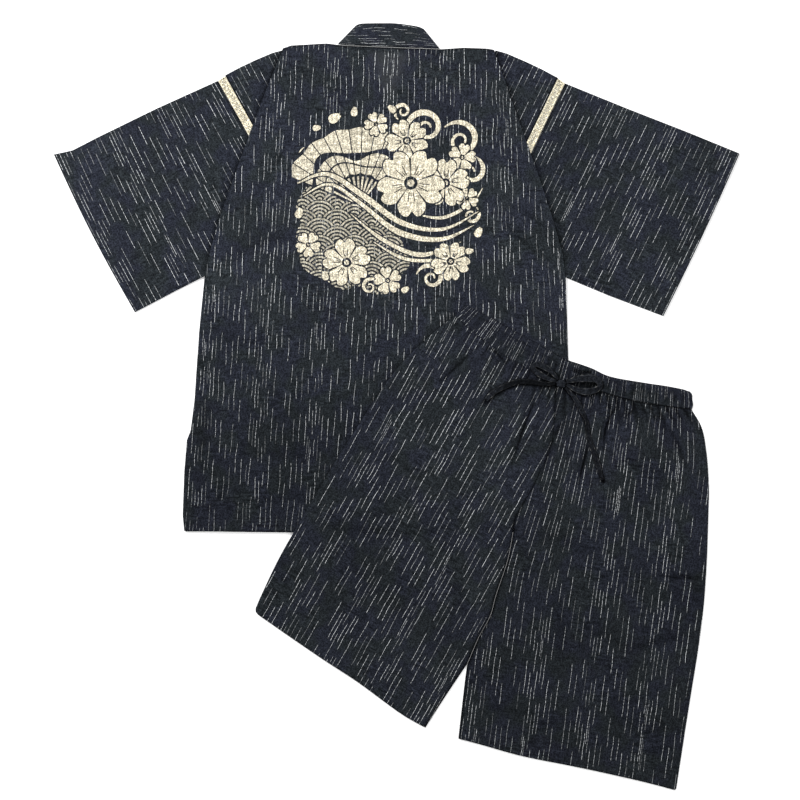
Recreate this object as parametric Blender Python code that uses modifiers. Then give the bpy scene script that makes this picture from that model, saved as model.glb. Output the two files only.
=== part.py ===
"""Jinbei set laid flat: a jacket, back side up, with its shorts, front side up, over its lower corner.

Every table below is in millimetres. X runs to the right and Y up the jacket, from the middle of
the set's outline. Z rises from the surface that the set lies on. Left and right are the wearer's.
"""

import math
from collections import namedtuple

import bmesh
import bpy
from mathutils import Vector

MM = 0.001

# Cloth
CLOTH = 1.0                      # wall of each piece
SEAM = 0.3                       # space kept between pieces that touch
LAYER = CLOTH + SEAM             # rise from one lying layer to the next
FOLD_RADIUS = CLOTH + SEAM / 2   # outside of a folded edge
FOLD_STEPS = 4

# Jacket
CENTRE_X = -17.5                 # centre line of the back
SHOULDER_Y = 559.7               # level of the shoulder line
BODY_LENGTH = 753.5
SHOULDER_FADE = 60               # drop over which the shoulder line's curve dies out
HEM_SAG = 3
FRONT_INSET_HIGH = 12            # how far the fronts stay inside the back, beside the sleeves
FRONT_INSET_LOW = 2
SLEEVE_ZONE_END = 340            # drop at which the sleeves are past
COLLAR_WIDTH = 34
COLLAR_REST = 2 * LAYER          # underside of the collar at its seam
LACE_WIDTH = 13.4
SLEEVE_TILT = math.radians(26)   # of the sleeves below the shoulder line
SHOULDER_FOLD_REACH = {-1: 111, 1: 120}   # from the armhole to the back's folded edge
CUFF_BULGE = {-1: 4, 1: 2}
SLEEVE_RAMP = 40                 # run over which a sleeve climbs onto the fronts
SLEEVE_MARGIN = 4
BACK_REST_HIGH = 3 * LAYER       # underside of the back over the sleeves' inner ends
BACK_REST_LOW = 2 * LAYER        # underside of the back over the crossed fronts
BACK_RAMP_START = 367
BACK_RAMP = 150

# Shorts
REST_GAP = 0.4                   # space between the jacket and the shorts on it
SHORTS_MARGIN = 10               # full height is kept this far past the jacket's edge
SHORTS_RAMP = 120
GATHER_RISE = 1.8
GATHER_FADE = 75
GATHERS_PER_SIDE = 16
SHARED_ROWS = 17                 # rows of a leg from the waist to where the legs part
LOWER_ROWS = 5
SHARED_PART = 0.79               # of a leg's outseam, beside those rows
WAISTBAND_ROWS = 3

# Tie
TIE_DIAMETER = 3.6
TIE_CLEARANCE = 0.5
KNOT_SIZE = Vector((8.2, 6.8, 2.6))
KNOT_PLACE = (256, 36)

BodyRow = namedtuple("BodyRow", "drop left right")
BODY_ROWS = (
    BodyRow(0, 160, 169),
    BodyRow(72, 188.6, 193.8),
    BodyRow(132, 211.4, 214.8),
    BodyRow(200, 236, 239.5),
    BodyRow(267, 259.6, 261.3),
    BodyRow(323, 275.3, 276.9),
    BodyRow(359, 282.4, 281.3),
    BodyRow(446, 291, 284),
    BodyRow(549, 298, 287),
    BodyRow(597, 304, 291),
    BodyRow(612, 310, 296),
    BodyRow(657, 313.7, 300),
    BodyRow(729, 316.4, 302.6),
    BodyRow(BODY_LENGTH, 314, 300),
)

ShoulderPoint = namedtuple("ShoulderPoint", "across rise")
SHOULDER_LINE = (
    ShoulderPoint(-161, -0.8),
    ShoulderPoint(-147, 4),
    ShoulderPoint(-92, 7.2),
    ShoulderPoint(-63, 3.6),
    ShoulderPoint(23, 0),
    ShoulderPoint(86, -2),
    ShoulderPoint(122, 0.5),
    ShoulderPoint(158, -0.8),
    ShoulderPoint(171, -3),
)

FrontRow = namedtuple("FrontRow", "drop cross")   # collar seam, past the centre line
FRONT_ROWS = (
    FrontRow(0, -78),
    FrontRow(234, 18),
    FrontRow(440, 100),
    FrontRow(530, 117),
    FrontRow(BODY_LENGTH, 117),
)

CollarRow = namedtuple("CollarRow", "seam_x top_x top_y")
COLLAR_ROWS = (
    CollarRow(-92, -64, 595),
    CollarRow(-77, -54, 598.4),
    CollarRow(-30, -20, 599),
    CollarRow(5, 0, 598.5),
    CollarRow(45, 31, 594.2),
    CollarRow(67, 42, 590),
)

SleeveRow = namedtuple("SleeveRow", "out_top top out_bottom bottom")
LEFT_SLEEVE = (
    SleeveRow(0, 0, -15, 268),
    SleeveRow(104, -3, 100, 264.5),
    SleeveRow(206, -3, 205, 266),
    SleeveRow(252, -2, 250, 267.5),
    SleeveRow(280.8, -9, 275, 268),
)
RIGHT_SLEEVE = (
    SleeveRow(0, 0, 0, 276),
    SleeveRow(104, -7, 104, 274),
    SleeveRow(206, -15.3, 206, 268),
    SleeveRow(292.7, -21, 297, 259.6),
)
ARMHOLE_LEFT = (-279, 509)
ARMHOLE_RIGHT = (263, 505)

FoldRow = namedtuple("FoldRow", "inward top depth")   # shoulder cloth, in from the armhole
SHOULDER_FOLD = (
    FoldRow(1.0, -1, 5),
    FoldRow(0.86, -2.6, 26),
    FoldRow(0.6, -3.6, 66),
    FoldRow(0.36, -3.8, 108),
    FoldRow(0.134, -2.8, 146),
)

WAIST_RIGHT = ((90, 142), (127, 111), (164, 83), (200, 62), (231, 43), (250, 32))
WAIST_LEFT = ((250, 32), (270, 28), (302, 25.5), (323, 22), (352, 14), (387, 6), (460, -4))
WAIST_SEAM = WAIST_RIGHT + WAIST_LEFT[1:]
WAIST_TOP_RIGHT = ((109, 158), (147, 139), (186, 117), (227, 95), (263, 74))
WAIST_TOP_LEFT = ((263, 74), (302, 61), (334, 47), (390, 37), (423, 32), (459, 25))
CROTCH_SEAM = ((250, 32), (241, -60), (225, -97), (211, -127), (185, -173), (181, -197), (173, -239),
               (155, -294), (146, -326), (128, -360), (110, -402))
RIGHT_OUTSEAM = ((90, 142), (50, 109), (5, 65), (-34, 11), (-93, -81), (-162, -198), (-191, -251),
                 (-223, -320))
RIGHT_INSEAM = ((110, -402), (77, -451), (45, -501))
RIGHT_HEM = ((-223, -320), (-126, -387), (-62, -429), (5, -478), (45, -501))
LEFT_OUTSEAM = ((460, -4), (476, -32), (483, -66), (487, -114), (487, -156), (483, -260), (475, -348),
                (454, -482), (436, -599))
LEFT_INSEAM = ((110, -402), (106, -430), (96, -518))
LEFT_HEM = ((96, -518), (130, -527), (199, -546), (289, -564), (379, -584), (436, -599))

Crease = namedtuple("Crease", "start end rise spread")
CREASES = (
    Crease((228, 10), (206, -70), 2.0, 10),
    Crease((278, 8), (258, -80), 2.2, 10),
    Crease((317, 4), (291, -104), 2.2, 10),
    Crease((380, -8), (338, -84), 1.8, 11),
)

TieRun = namedtuple("TieRun", "leaves route returns")   # angles round the knot, None at a free end
TIE_RUNS = {
    "tie_loop_right": TieRun(118, ((238, 57), (225, 64), (216, 66), (212, 61), (218, 54), (229, 47),
                                   (239, 42.5)), 148),
    "tie_tail_right": TieRun(180, ((229, 36), (208, 39), (188, 39), (169, 32), (152, 23), (139, 11)),
                             None),
    "tie_loop_left": TieRun(22, ((278, 42.5), (298, 44.5), (312, 42), (317, 34), (310, 26.5),
                                 (292, 23.5), (277, 28)), -10),
    "tie_tail_left": TieRun(-45, ((279, 11), (288, -7), (295, -21), (298, -38), (301, -55),
                                  (307, -71), (314, -92), (321, -114)), None),
}

NAVY = (0.028, 0.034, 0.045)
DARK_NAVY = (0.020, 0.024, 0.032)
CREAM = (0.80, 0.70, 0.50)


def smooth(t):
    """Ease from 0 to 1."""
    t = min(max(t, 0.0), 1.0)
    return t * t * (3 - 2 * t)


def look_up(rows, key, column, at):
    """Read a column of a table at a place between its rows."""
    for low, high in zip(rows, rows[1:]):
        if at <= getattr(high, key):
            break
    span = getattr(high, key) - getattr(low, key)
    share = min(max((at - getattr(low, key)) / span, 0.0), 1.0)
    return getattr(low, column) + share * (getattr(high, column) - getattr(low, column))


def curve_points(points, shares, subdivisions=12):
    """Points at the given shares of the length of a smooth curve through the points."""
    ends = [points[0], *points, points[-1]]
    fine = []
    for before, start, end, after in zip(ends, ends[1:], ends[2:], ends[3:]):
        for step in range(subdivisions):
            t = step / subdivisions
            fine.append(Vector([
                0.5 * (2 * b + (c - a) * t + (2 * a - 5 * b + 4 * c - d) * t ** 2
                       + (3 * b - a - 3 * c + d) * t ** 3)
                for a, b, c, d in zip(before, start, end, after)]))
    fine.append(Vector(points[-1]))
    lengths = [0.0]
    for start, end in zip(fine, fine[1:]):
        lengths.append(lengths[-1] + (end - start).length)
    result = []
    place = 0
    for share in shares:
        target = share * lengths[-1]
        while place < len(fine) - 2 and lengths[place + 1] < target:
            place += 1
        run = lengths[place + 1] - lengths[place]
        result.append(fine[place].lerp(fine[place + 1], (target - lengths[place]) / run))
    return result


def even_shares(count, power=1.0):
    return [(step / count) ** power for step in range(count + 1)]


def half_width(drop, side):
    """Distance from the back's centre line to its edge, on the side -1 (left) or 1 (right)."""
    return look_up(BODY_ROWS, "drop", "left" if side < 0 else "right", drop)


def body_level(across, drop):
    """Y of a place on the jacket's body, which follows the shoulder line at the top."""
    rise = look_up(SHOULDER_LINE, "across", "rise", across)
    return SHOULDER_Y - drop + rise * (1 - smooth(drop / SHOULDER_FADE))


def front_edge(drop, side):
    """Distance from the centre line to the outer edge of a front."""
    low = smooth((drop - SLEEVE_ZONE_END) / 60)
    inset = FRONT_INSET_HIGH + low * (FRONT_INSET_LOW - FRONT_INSET_HIGH)
    return half_width(drop, side) - inset


def sleeve_height(x, y):
    """Underside of the sleeves and shoulder folds: on the surface outside, on the fronts inside."""
    across = x - CENTRE_X
    drop = max(SHOULDER_Y - y, 0)
    outside = abs(across) - front_edge(drop, math.copysign(1, across))
    return LAYER * (1 - smooth((outside - SLEEVE_MARGIN) / SLEEVE_RAMP))


def back_height(x, y):
    """Underside of the back."""
    lowered = smooth((SHOULDER_Y - y - BACK_RAMP_START) / BACK_RAMP)
    return BACK_REST_HIGH + lowered * (BACK_REST_LOW - BACK_REST_HIGH)


def left_front_height(x, y):
    return 0.0


def right_front_height(x, y):
    """Underside of the right front, which lies on the left one and on its collar."""
    crossing = look_up(FRONT_ROWS, "drop", "cross", SHOULDER_Y - y) + COLLAR_WIDTH + 12
    return LAYER * (1 - smooth((x - CENTRE_X - crossing) / 40))


def shorts_height(x, y):
    """Underside of the shorts: on the jacket inside its edge, on the surface beyond."""
    across = x - CENTRE_X
    drop = SHOULDER_Y - y
    sideways = abs(across) - half_width(drop, math.copysign(1, across))
    outside = max(sideways, drop - BODY_LENGTH)
    on_jacket = back_height(x, y) + CLOTH + REST_GAP
    return on_jacket * (1 - smooth((outside - SHORTS_MARGIN) / SHORTS_RAMP))


def crease_height(x, y):
    """Rise of the soft folds that run down from the waist."""
    total = 0.0
    for crease in CREASES:
        start = Vector(crease.start)
        run = Vector(crease.end) - start
        along = (Vector((x, y)) - start).dot(run) / run.length_squared
        if not 0 < along < 1:
            continue
        aside = (Vector((x, y)) - start - along * run).length
        total += crease.rise * math.sin(math.pi * along) * math.exp(-(aside / crease.spread) ** 2)
    return total


def shorts_front_height(x, y):
    return shorts_height(x, y) + LAYER + crease_height(x, y)


def gather(column):
    """Rise of the waist's gathers at a column, a crest at each odd one."""
    return GATHER_RISE * (0.75 + 0.25 * math.sin(1.7 * column)) * (column % 2)


def cloth_material(name, colour, roughness=0.92):
    material = bpy.data.materials.new(name)
    material.use_nodes = True
    shader = material.node_tree.nodes["Principled BSDF"]
    shader.inputs["Base Color"].default_value = (*colour, 1)
    shader.inputs["Roughness"].default_value = roughness
    shader.inputs["Metallic"].default_value = 0
    return material


def add_object(name, data, colour, collection):
    item = bpy.data.objects.new(name, data)
    data.materials.append(cloth_material(name + "_cloth", colour))
    collection.objects.link(item)
    return item


def add_surface(name, grid, colour, collection, closed=False, outward=1):
    """A cloth piece from a grid of points in millimetres, thickened along or against its normals."""
    build = bmesh.new()
    rows = [[build.verts.new(Vector(point) * MM) for point in row] for row in grid]
    for above, below in zip(rows, rows[1:]):
        count = len(above) if closed else len(above) - 1
        for column in range(count):
            following = (column + 1) % len(above)
            build.faces.new((above[column], below[column], below[following], above[following]))
    build.normal_update()
    build.faces.ensure_lookup_table()
    if build.faces[0].normal.z < 0:
        bmesh.ops.reverse_faces(build, faces=build.faces)
    mesh = bpy.data.meshes.new(name)
    build.to_mesh(mesh)
    build.free()
    item = add_object(name, mesh, colour, collection)
    wall = item.modifiers.new("Wall", "SOLIDIFY")
    wall.thickness = CLOTH * MM
    wall.offset = outward
    wall.use_even_offset = True
    return item


def add_flat_cloth(name, rows, height, colour, collection):
    """One layer of cloth over plan rows, its underside at the given height."""
    grid = [[(x, y, height(x, y)) for x, y in row] for row in rows]
    return add_surface(name, grid, colour, collection)


def fold_points(end, neighbour, base):
    """Points round a folded edge, from its top to its underside."""
    outward = (end - neighbour).normalized()
    points = []
    for step in range(1, FOLD_STEPS):
        angle = math.pi / 2 - math.pi * step / FOLD_STEPS
        reach = end + outward * (FOLD_RADIUS * math.cos(angle))
        points.append((reach.x, reach.y, base + FOLD_RADIUS * (1 + math.sin(angle))))
    return points


def add_folded_cloth(name, rows, height, colour, collection, closed=True, rise=None, under_step=1):
    """Cloth folded at the far end of each plan row, and at the near end too if closed."""
    grid = []
    for row in rows:
        row = [Vector(point[:2]) for point in row]
        ring = []
        for column, point in enumerate(row):
            lift = rise(column) if rise else 0.0
            ring.append((point.x, point.y, height(point.x, point.y) + 2 * FOLD_RADIUS + lift))
        ring.extend(fold_points(row[-1], row[-2], height(row[-1].x, row[-1].y)))
        for point in row[::-under_step]:
            ring.append((point.x, point.y, height(point.x, point.y)))
        if closed:
            near = fold_points(row[0], row[1], height(row[0].x, row[0].y))
            ring.extend(reversed(near))
        grid.append(ring)
    return add_surface(name, grid, colour, collection, closed=closed, outward=-1)


def patch(first, last, left, right):
    """Plan rows that fill four edges given as equal lists of points."""
    rows = []
    for row, (left_point, right_point) in enumerate(zip(left, right)):
        v = row / (len(left) - 1)
        points = []
        for column, (first_point, last_point) in enumerate(zip(first, last)):
            u = column / (len(first) - 1)
            corners = ((1 - u) * (1 - v) * first[0] + u * (1 - v) * first[-1]
                       + (1 - u) * v * last[0] + u * v * last[-1])
            points.append((1 - v) * first_point + v * last_point
                          + (1 - u) * left_point + u * right_point - corners)
        rows.append(points)
    return rows


def build_back(collection):
    rows = []
    for share in even_shares(30):
        drop = BODY_LENGTH * share
        row = []
        for step in range(-12, 13):
            fraction = step / 12
            across = fraction * half_width(drop, fraction)
            sag = HEM_SAG * (1 - fraction ** 2) * smooth((share - 0.9) * 10)
            row.append((CENTRE_X + across, body_level(across, drop) - sag))
        rows.append(row)
    add_flat_cloth("jacket_back", rows, back_height, NAVY, collection)


def build_front(name, side, height, collection):
    """A front, from its side edge to its collar seam past the centre line."""
    rows = []
    for share in even_shares(20):
        drop = BODY_LENGTH * share
        outer = side * front_edge(drop, side)
        inner = -side * look_up(FRONT_ROWS, "drop", "cross", drop)
        row = []
        for fraction in even_shares(10):
            across = outer + fraction * (inner - outer)
            row.append((CENTRE_X + across, body_level(across, drop) - CLOTH))
        rows.append(row if side < 0 else row[::-1])
    add_flat_cloth("jacket_front_" + name, rows, height, NAVY, collection)


def build_front_collar(name, side, height, collection):
    """The collar's stretch down one front."""
    rows = []
    for share in even_shares(20):
        drop = BODY_LENGTH * share
        cross = look_up(FRONT_ROWS, "drop", "cross", drop)
        edges = [-side * (cross + SEAM * 1.5), -side * (cross + COLLAR_WIDTH)]
        points = [(CENTRE_X + across, body_level(across, drop) - CLOTH) for across in sorted(edges)]
        rows.append(points)
    add_flat_cloth("collar_front_" + name, rows, height, NAVY, collection)


def build_back_collar(collection):
    """The collar's stretch behind the neck, folded along its upper edge."""
    top = curve_points([(row.top_x, row.top_y) for row in COLLAR_ROWS], even_shares(12))
    seam = curve_points([(row.seam_x, 0) for row in COLLAR_ROWS], even_shares(12))
    rows = []
    for top_point, seam_point in zip(top, seam):
        level = body_level(seam_point.x - CENTRE_X, 0) + CLOTH
        start = Vector((seam_point.x, level))
        end = top_point - (top_point - start).normalized() * FOLD_RADIUS
        rows.append([start.lerp(end, share) for share in even_shares(4)])
    seam_level = SHOULDER_Y
    top_level = SHOULDER_Y + COLLAR_WIDTH

    def height(x, y):
        return COLLAR_REST * (1 - smooth((y - seam_level) / (top_level - seam_level)))

    add_folded_cloth("collar_back", rows, height, NAVY, collection, closed=False)


def sleeve_axes(side):
    """Directions along a sleeve and down its armhole."""
    along = Vector((side * math.cos(SLEEVE_TILT), -math.sin(SLEEVE_TILT)))
    down = Vector((-side * math.sin(SLEEVE_TILT), -math.cos(SLEEVE_TILT)))
    return along, down


def build_sleeve(name, side, armhole, table, collection):
    along, down = sleeve_axes(side)
    origin = Vector(armhole)
    rows = []
    for place in even_shares(12):
        out = place * table[-1].out_top
        top = origin + along * out + down * (look_up(table, "out_top", "top", out) + FOLD_RADIUS)
        bottom_out = look_up(table, "out_top", "out_bottom", out)
        bottom_down = look_up(table, "out_top", "bottom", out) - FOLD_RADIUS
        bottom = origin + along * bottom_out + down * bottom_down
        bulge = along * (CUFF_BULGE[side] * place ** 2)
        rows.append([top.lerp(bottom, share) + bulge * math.sin(math.pi * share)
                     for share in even_shares(10)])
    add_folded_cloth("sleeve_" + name, rows, sleeve_height, NAVY, collection)


def build_lace(name, side, armhole, table, collection):
    """The insertion lace between the shoulder and the sleeve, all round the armhole."""
    along, down = sleeve_axes(side)
    origin = Vector(armhole)
    first = table[0]
    rows = []
    for inward in (LACE_WIDTH, SEAM):
        top = origin - along * inward + down * (FOLD_RADIUS - 2 * inward / LACE_WIDTH)
        bottom = origin + along * (first.out_bottom - inward) + down * (first.bottom - FOLD_RADIUS)
        rows.append([top.lerp(bottom, share) for share in even_shares(10)])
    add_folded_cloth("armhole_lace_" + name, rows, sleeve_height, CREAM, collection)


def build_shoulder_fold(name, side, armhole, table, collection):
    """The body's cloth that shows between the back's folded edge and the lace."""
    along, down = sleeve_axes(side)
    origin = Vector(armhole)
    slant = table[0].out_bottom / table[0].bottom
    rows = []
    for row in SHOULDER_FOLD:
        top = origin - along * (row.inward * SHOULDER_FOLD_REACH[side])
        top += down * (row.top + FOLD_RADIUS)
        lean = slant * row.depth * (1 - row.inward)
        bottom = top + along * lean + down * (row.depth - FOLD_RADIUS)
        rows.append([bottom.lerp(top, share) for share in even_shares(6)])
    add_folded_cloth("shoulder_fold_" + name, rows, sleeve_height, NAVY, collection, closed=False)


def leg_rows(waist, hem, outseam, inseam, side):
    """Plan rows of a leg's panel. The crotch seam is on its inner side, side 1 at its right."""
    columns = even_shares(2 * GATHERS_PER_SIDE)
    shared = even_shares(SHARED_ROWS, 1.25)
    lower = even_shares(LOWER_ROWS)[1:]
    outer = curve_points(outseam, [share * SHARED_PART for share in shared]
                         + [SHARED_PART + share * (1 - SHARED_PART) for share in lower])
    inner = curve_points(CROTCH_SEAM, shared) + curve_points(inseam, lower)
    inner = [point - Vector((side * SEAM, 0)) for point in inner]
    top = [point - Vector((0, 2 * SEAM)) for point in curve_points(waist, columns)]
    bottom = curve_points(hem, columns)
    left, right = (outer, inner) if side > 0 else (inner, outer)
    left[0] = top[0] = Vector((left[0].x, top[0].y))
    right[0] = top[-1] = Vector((right[0].x, top[-1].y))
    left[-1] = bottom[0] = Vector((left[-1].x, bottom[0].y))
    right[-1] = bottom[-1] = Vector((right[-1].x, bottom[-1].y))
    return patch(top, bottom, left, right)


def build_leg(name, rows, first_column, collection):
    """A leg's front and back panels."""
    grid = []
    for row in rows:
        points = []
        for column, (x, y) in enumerate(row):
            below_waist = (Vector((x, y)) - rows[0][column]).length
            lift = gather(first_column + column) * (1 - smooth(below_waist / GATHER_FADE))
            points.append((x, y, shorts_front_height(x, y) + lift))
        grid.append(points)
    add_surface("shorts_front_" + name, grid, NAVY, collection)
    coarse = [row[::4] for row in rows]
    add_flat_cloth("shorts_back_" + name, coarse, shorts_height, NAVY, collection)


def build_waistband(collection):
    """The gathered casing round the waist, flattened, open above and below."""
    columns = even_shares(2 * GATHERS_PER_SIDE)
    low = curve_points(WAIST_RIGHT, columns) + curve_points(WAIST_LEFT, columns)[1:]
    high = curve_points(WAIST_TOP_RIGHT, columns) + curve_points(WAIST_TOP_LEFT, columns)[1:]
    rows = []
    for share in even_shares(WAISTBAND_ROWS):
        rows.append([top.lerp(bottom, share) for top, bottom in zip(high, low)])
    add_folded_cloth("waistband", rows, shorts_height, NAVY, collection, rise=gather, under_step=4)


def gather_room(x, y):
    """Space over the shorts that the gathers may fill, which dies out below the waist seam."""
    for low, high in zip(WAIST_SEAM, WAIST_SEAM[1:]):
        if x <= high[0]:
            break
    seam = low[1] + (high[1] - low[1]) * (x - low[0]) / (high[0] - low[0])
    return GATHER_RISE * (1 - smooth(0.8 * (seam - y) / GATHER_FADE))


def tie_level(x, y, radius):
    """Height of a tie's centre where it lies on the shorts."""
    return shorts_front_height(x, y) + CLOTH + gather_room(x, y) + TIE_CLEARANCE + radius


def knot_exit(angle):
    """Place beside the knot where a tie comes out of it."""
    turn = math.radians(angle)
    reach = (KNOT_SIZE.x + SEAM) * math.cos(turn), (KNOT_SIZE.y + SEAM) * math.sin(turn)
    return KNOT_PLACE[0] + reach[0], KNOT_PLACE[1] + reach[1]


def build_tie_run(name, run, collection):
    radius = TIE_DIAMETER / 2
    points = [knot_exit(run.leaves), *run.route]
    if run.returns is not None:
        points.append(knot_exit(run.returns))
    length = sum((Vector(b) - Vector(a)).length for a, b in zip(points, points[1:]))
    count = max(6, round(length / (2 * TIE_DIAMETER)))
    path = curve_points(points, even_shares(count))
    curve = bpy.data.curves.new(name, "CURVE")
    curve.dimensions = "3D"
    curve.bevel_depth = radius * MM
    curve.bevel_resolution = 2
    curve.resolution_u = 1
    curve.render_resolution_u = 0
    curve.use_fill_caps = True
    spline = curve.splines.new("POLY")
    spline.points.add(len(path) - 1)
    for point, (x, y) in zip(spline.points, path):
        point.co = (x * MM, y * MM, tie_level(x, y, radius) * MM, 1)
    add_object(name, curve, DARK_NAVY, collection)


def build_knot(collection):
    x, y = KNOT_PLACE
    level = tie_level(x, y, KNOT_SIZE.z)
    bpy.ops.mesh.primitive_uv_sphere_add(segments=16, ring_count=8, radius=1,
                                         location=Vector((x, y, level)) * MM)
    knot = bpy.context.object
    knot.name = "tie_knot"
    knot.data.name = "tie_knot"
    knot.scale = KNOT_SIZE * MM
    knot.data.materials.append(cloth_material("tie_knot_cloth", DARK_NAVY))
    for other in list(knot.users_collection):
        other.objects.unlink(knot)
    collection.objects.link(knot)


def main():
    for item in list(bpy.data.objects):
        bpy.data.objects.remove(item)
    collection = bpy.data.collections.new("jinbei_set")
    bpy.context.scene.collection.children.link(collection)

    build_front("left", -1, left_front_height, collection)
    build_front("right", 1, right_front_height, collection)
    build_front_collar("left", -1, left_front_height, collection)
    build_front_collar("right", 1, right_front_height, collection)
    build_back(collection)
    build_back_collar(collection)
    for name, side, armhole, table in (("left", -1, ARMHOLE_LEFT, LEFT_SLEEVE),
                                       ("right", 1, ARMHOLE_RIGHT, RIGHT_SLEEVE)):
        build_sleeve(name, side, armhole, table, collection)
        build_lace(name, side, armhole, table, collection)
        build_shoulder_fold(name, side, armhole, table, collection)

    right_leg = leg_rows(WAIST_RIGHT, RIGHT_HEM, RIGHT_OUTSEAM, RIGHT_INSEAM, 1)
    left_leg = leg_rows(WAIST_LEFT, LEFT_HEM, LEFT_OUTSEAM, LEFT_INSEAM, -1)
    build_leg("right", right_leg, 0, collection)
    build_leg("left", left_leg, 2 * GATHERS_PER_SIDE, collection)
    build_waistband(collection)

    build_knot(collection)
    for name, run in TIE_RUNS.items():
        build_tie_run(name, run, collection)


main()
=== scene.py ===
import math

import bmesh
import bpy
import numpy as np
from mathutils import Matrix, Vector, noise
from mathutils.bvhtree import BVHTree


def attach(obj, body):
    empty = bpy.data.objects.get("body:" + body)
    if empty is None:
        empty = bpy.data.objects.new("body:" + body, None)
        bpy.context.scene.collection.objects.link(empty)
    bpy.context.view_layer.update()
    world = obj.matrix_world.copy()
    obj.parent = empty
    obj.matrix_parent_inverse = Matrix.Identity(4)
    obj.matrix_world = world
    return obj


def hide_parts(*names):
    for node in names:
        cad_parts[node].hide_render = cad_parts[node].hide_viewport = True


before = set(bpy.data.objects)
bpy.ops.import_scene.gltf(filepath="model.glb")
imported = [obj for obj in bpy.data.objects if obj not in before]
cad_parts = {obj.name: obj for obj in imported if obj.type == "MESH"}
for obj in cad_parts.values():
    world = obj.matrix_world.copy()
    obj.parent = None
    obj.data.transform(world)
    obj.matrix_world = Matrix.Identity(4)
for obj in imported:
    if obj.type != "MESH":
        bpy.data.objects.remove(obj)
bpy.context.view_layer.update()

# Jinbei set laid flat: the jacket back side up, its shorts front side up over one lower corner.
# Tables are in millimetres, from the middle of the set's outline. Meshes are made in metres.

mm = 0.001
scene = bpy.context.scene

cloth = {
    "wall": 0.7,            # shell of each piece
    "layer": 1.3,           # rise from one lying layer to the next
    "foldRadius": 1.15,     # outside of a folded edge
    "foldSteps": 8,
    "waves": 0.75,          # height of the soft waves over the whole cloth
    "lift": 0.7,            # how far the waves stand above the flat form
}

jacket = {
    "centreX": -17.5, "shoulderY": 559.7, "length": 753.5, "shoulderFade": 60, "hemSag": 3,
    "frontInsetHigh": 12, "frontInsetLow": 2, "sleeveZoneEnd": 340,
    "collarWidth": 34, "collarRest": 2.6, "laceWidth": 13.4, "sleeveTilt": math.radians(26),
    "foldReach": {-1: 111, 1: 120}, "cuffBulge": {-1: 4, 1: 2}, "sleeveRamp": 40, "sleeveMargin": 4,
    "backHigh": 3.9, "backLow": 2.6, "backRampStart": 367, "backRamp": 150,
    "hemTurn": 18, "cuffTurn": 20, "seamGap": 0.3,
}
bodyDrops = (0, 72, 132, 200, 267, 323, 359, 446, 549, 597, 612, 657, 729, 753.5)
bodyLeft = (160, 188.6, 211.4, 236, 259.6, 275.3, 282.4, 291, 298, 304, 310, 313.7, 316.4, 314)
bodyRight = (169, 193.8, 214.8, 239.5, 261.3, 276.9, 281.3, 284, 287, 291, 296, 300, 302.6, 300)
shoulderAcross = (-161, -147, -92, -63, 23, 86, 122, 158, 171)
shoulderRise = (-0.8, 4, 7.2, 3.6, 0, -2, 0.5, -0.8, -3)
frontDrops = (0, 234, 440, 530, 753.5)
frontCross = (-78, 18, 100, 117, 117)      # collar seam, past the centre line
collarSeam = (-92, -77, -30, 5, 45, 67)
collarTop = ((-64, 595), (-54, 598.4), (-20, 599), (0, 598.5), (31, 594.2), (42, 590))
sleeves = {
    -1: {"armhole": (-279, 509), "outTop": (0, 104, 206, 252, 280.8), "top": (0, -3, -3, -2, -9),
         "outBottom": (-15, 100, 205, 250, 275), "bottom": (268, 264.5, 266, 267.5, 268)},
    1: {"armhole": (263, 505), "outTop": (0, 104, 206, 292.7), "top": (0, -7, -15.3, -21),
        "outBottom": (0, 104, 206, 297), "bottom": (276, 274, 268, 259.6)},
}
foldIn = (1.0, 0.86, 0.6, 0.36, 0.134)     # shoulder cloth, as shares of its reach in from the armhole
foldTop = (1.5, -1.8, -3.4, -3.8, -2.8)
foldDepth = (5, 26, 66, 108, 146)

# Folds listed one by one: the line down each trough, its depth and its width.
jacketCreases = (
    (((-271, 216), (-237, 247), (-190, 264), (-150, 262)), 2.0, 13),
    (((169, 284), (205, 252), (240, 226)), 1.8, 12),
    (((183, 316), (212, 298), (236, 272)), 1.3, 9),
    (((-297, 20), (-300, -30), (-306, -90)), 1.7, 18),
    (((-262, -66), (-200, -72), (-120, -78)), 1.3, 16),
    (((-276, 112), (-238, 100), (-200, 104)), 1.3, 12),
    (((-160, 430), (-190, 380), (-214, 330)), 1.2, 10),
    (((150, 440), (176, 400), (190, 352)), 1.2, 10),
    (((-60, -120), (-20, -20), (32, 60)), 1.2, 20),
    (((-240, -150), (-150, -140), (-60, -150)), 1.0, 14),
    (((150, 160), (190, 140), (236, 138)), 1.0, 11),
    (((-96, 520), (-90, 470), (-92, 420)), 0.7, 9),
    (((80, 510), (84, 450), (78, 400)), 0.7, 9),
    (((40, 554), (56, 552), (72, 553)), 1.5, 5),
)
sleeveCreases = (
    (((-470, 330), (-430, 372), (-372, 380)), 0.8, 13),
    (((-330, 250), (-318, 300), (-330, 352)), 0.8, 10),
    (((452, 300), (420, 352), (372, 372)), 0.8, 13),
    (((300, 260), (330, 300), (338, 352)), 0.7, 10),
)

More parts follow.
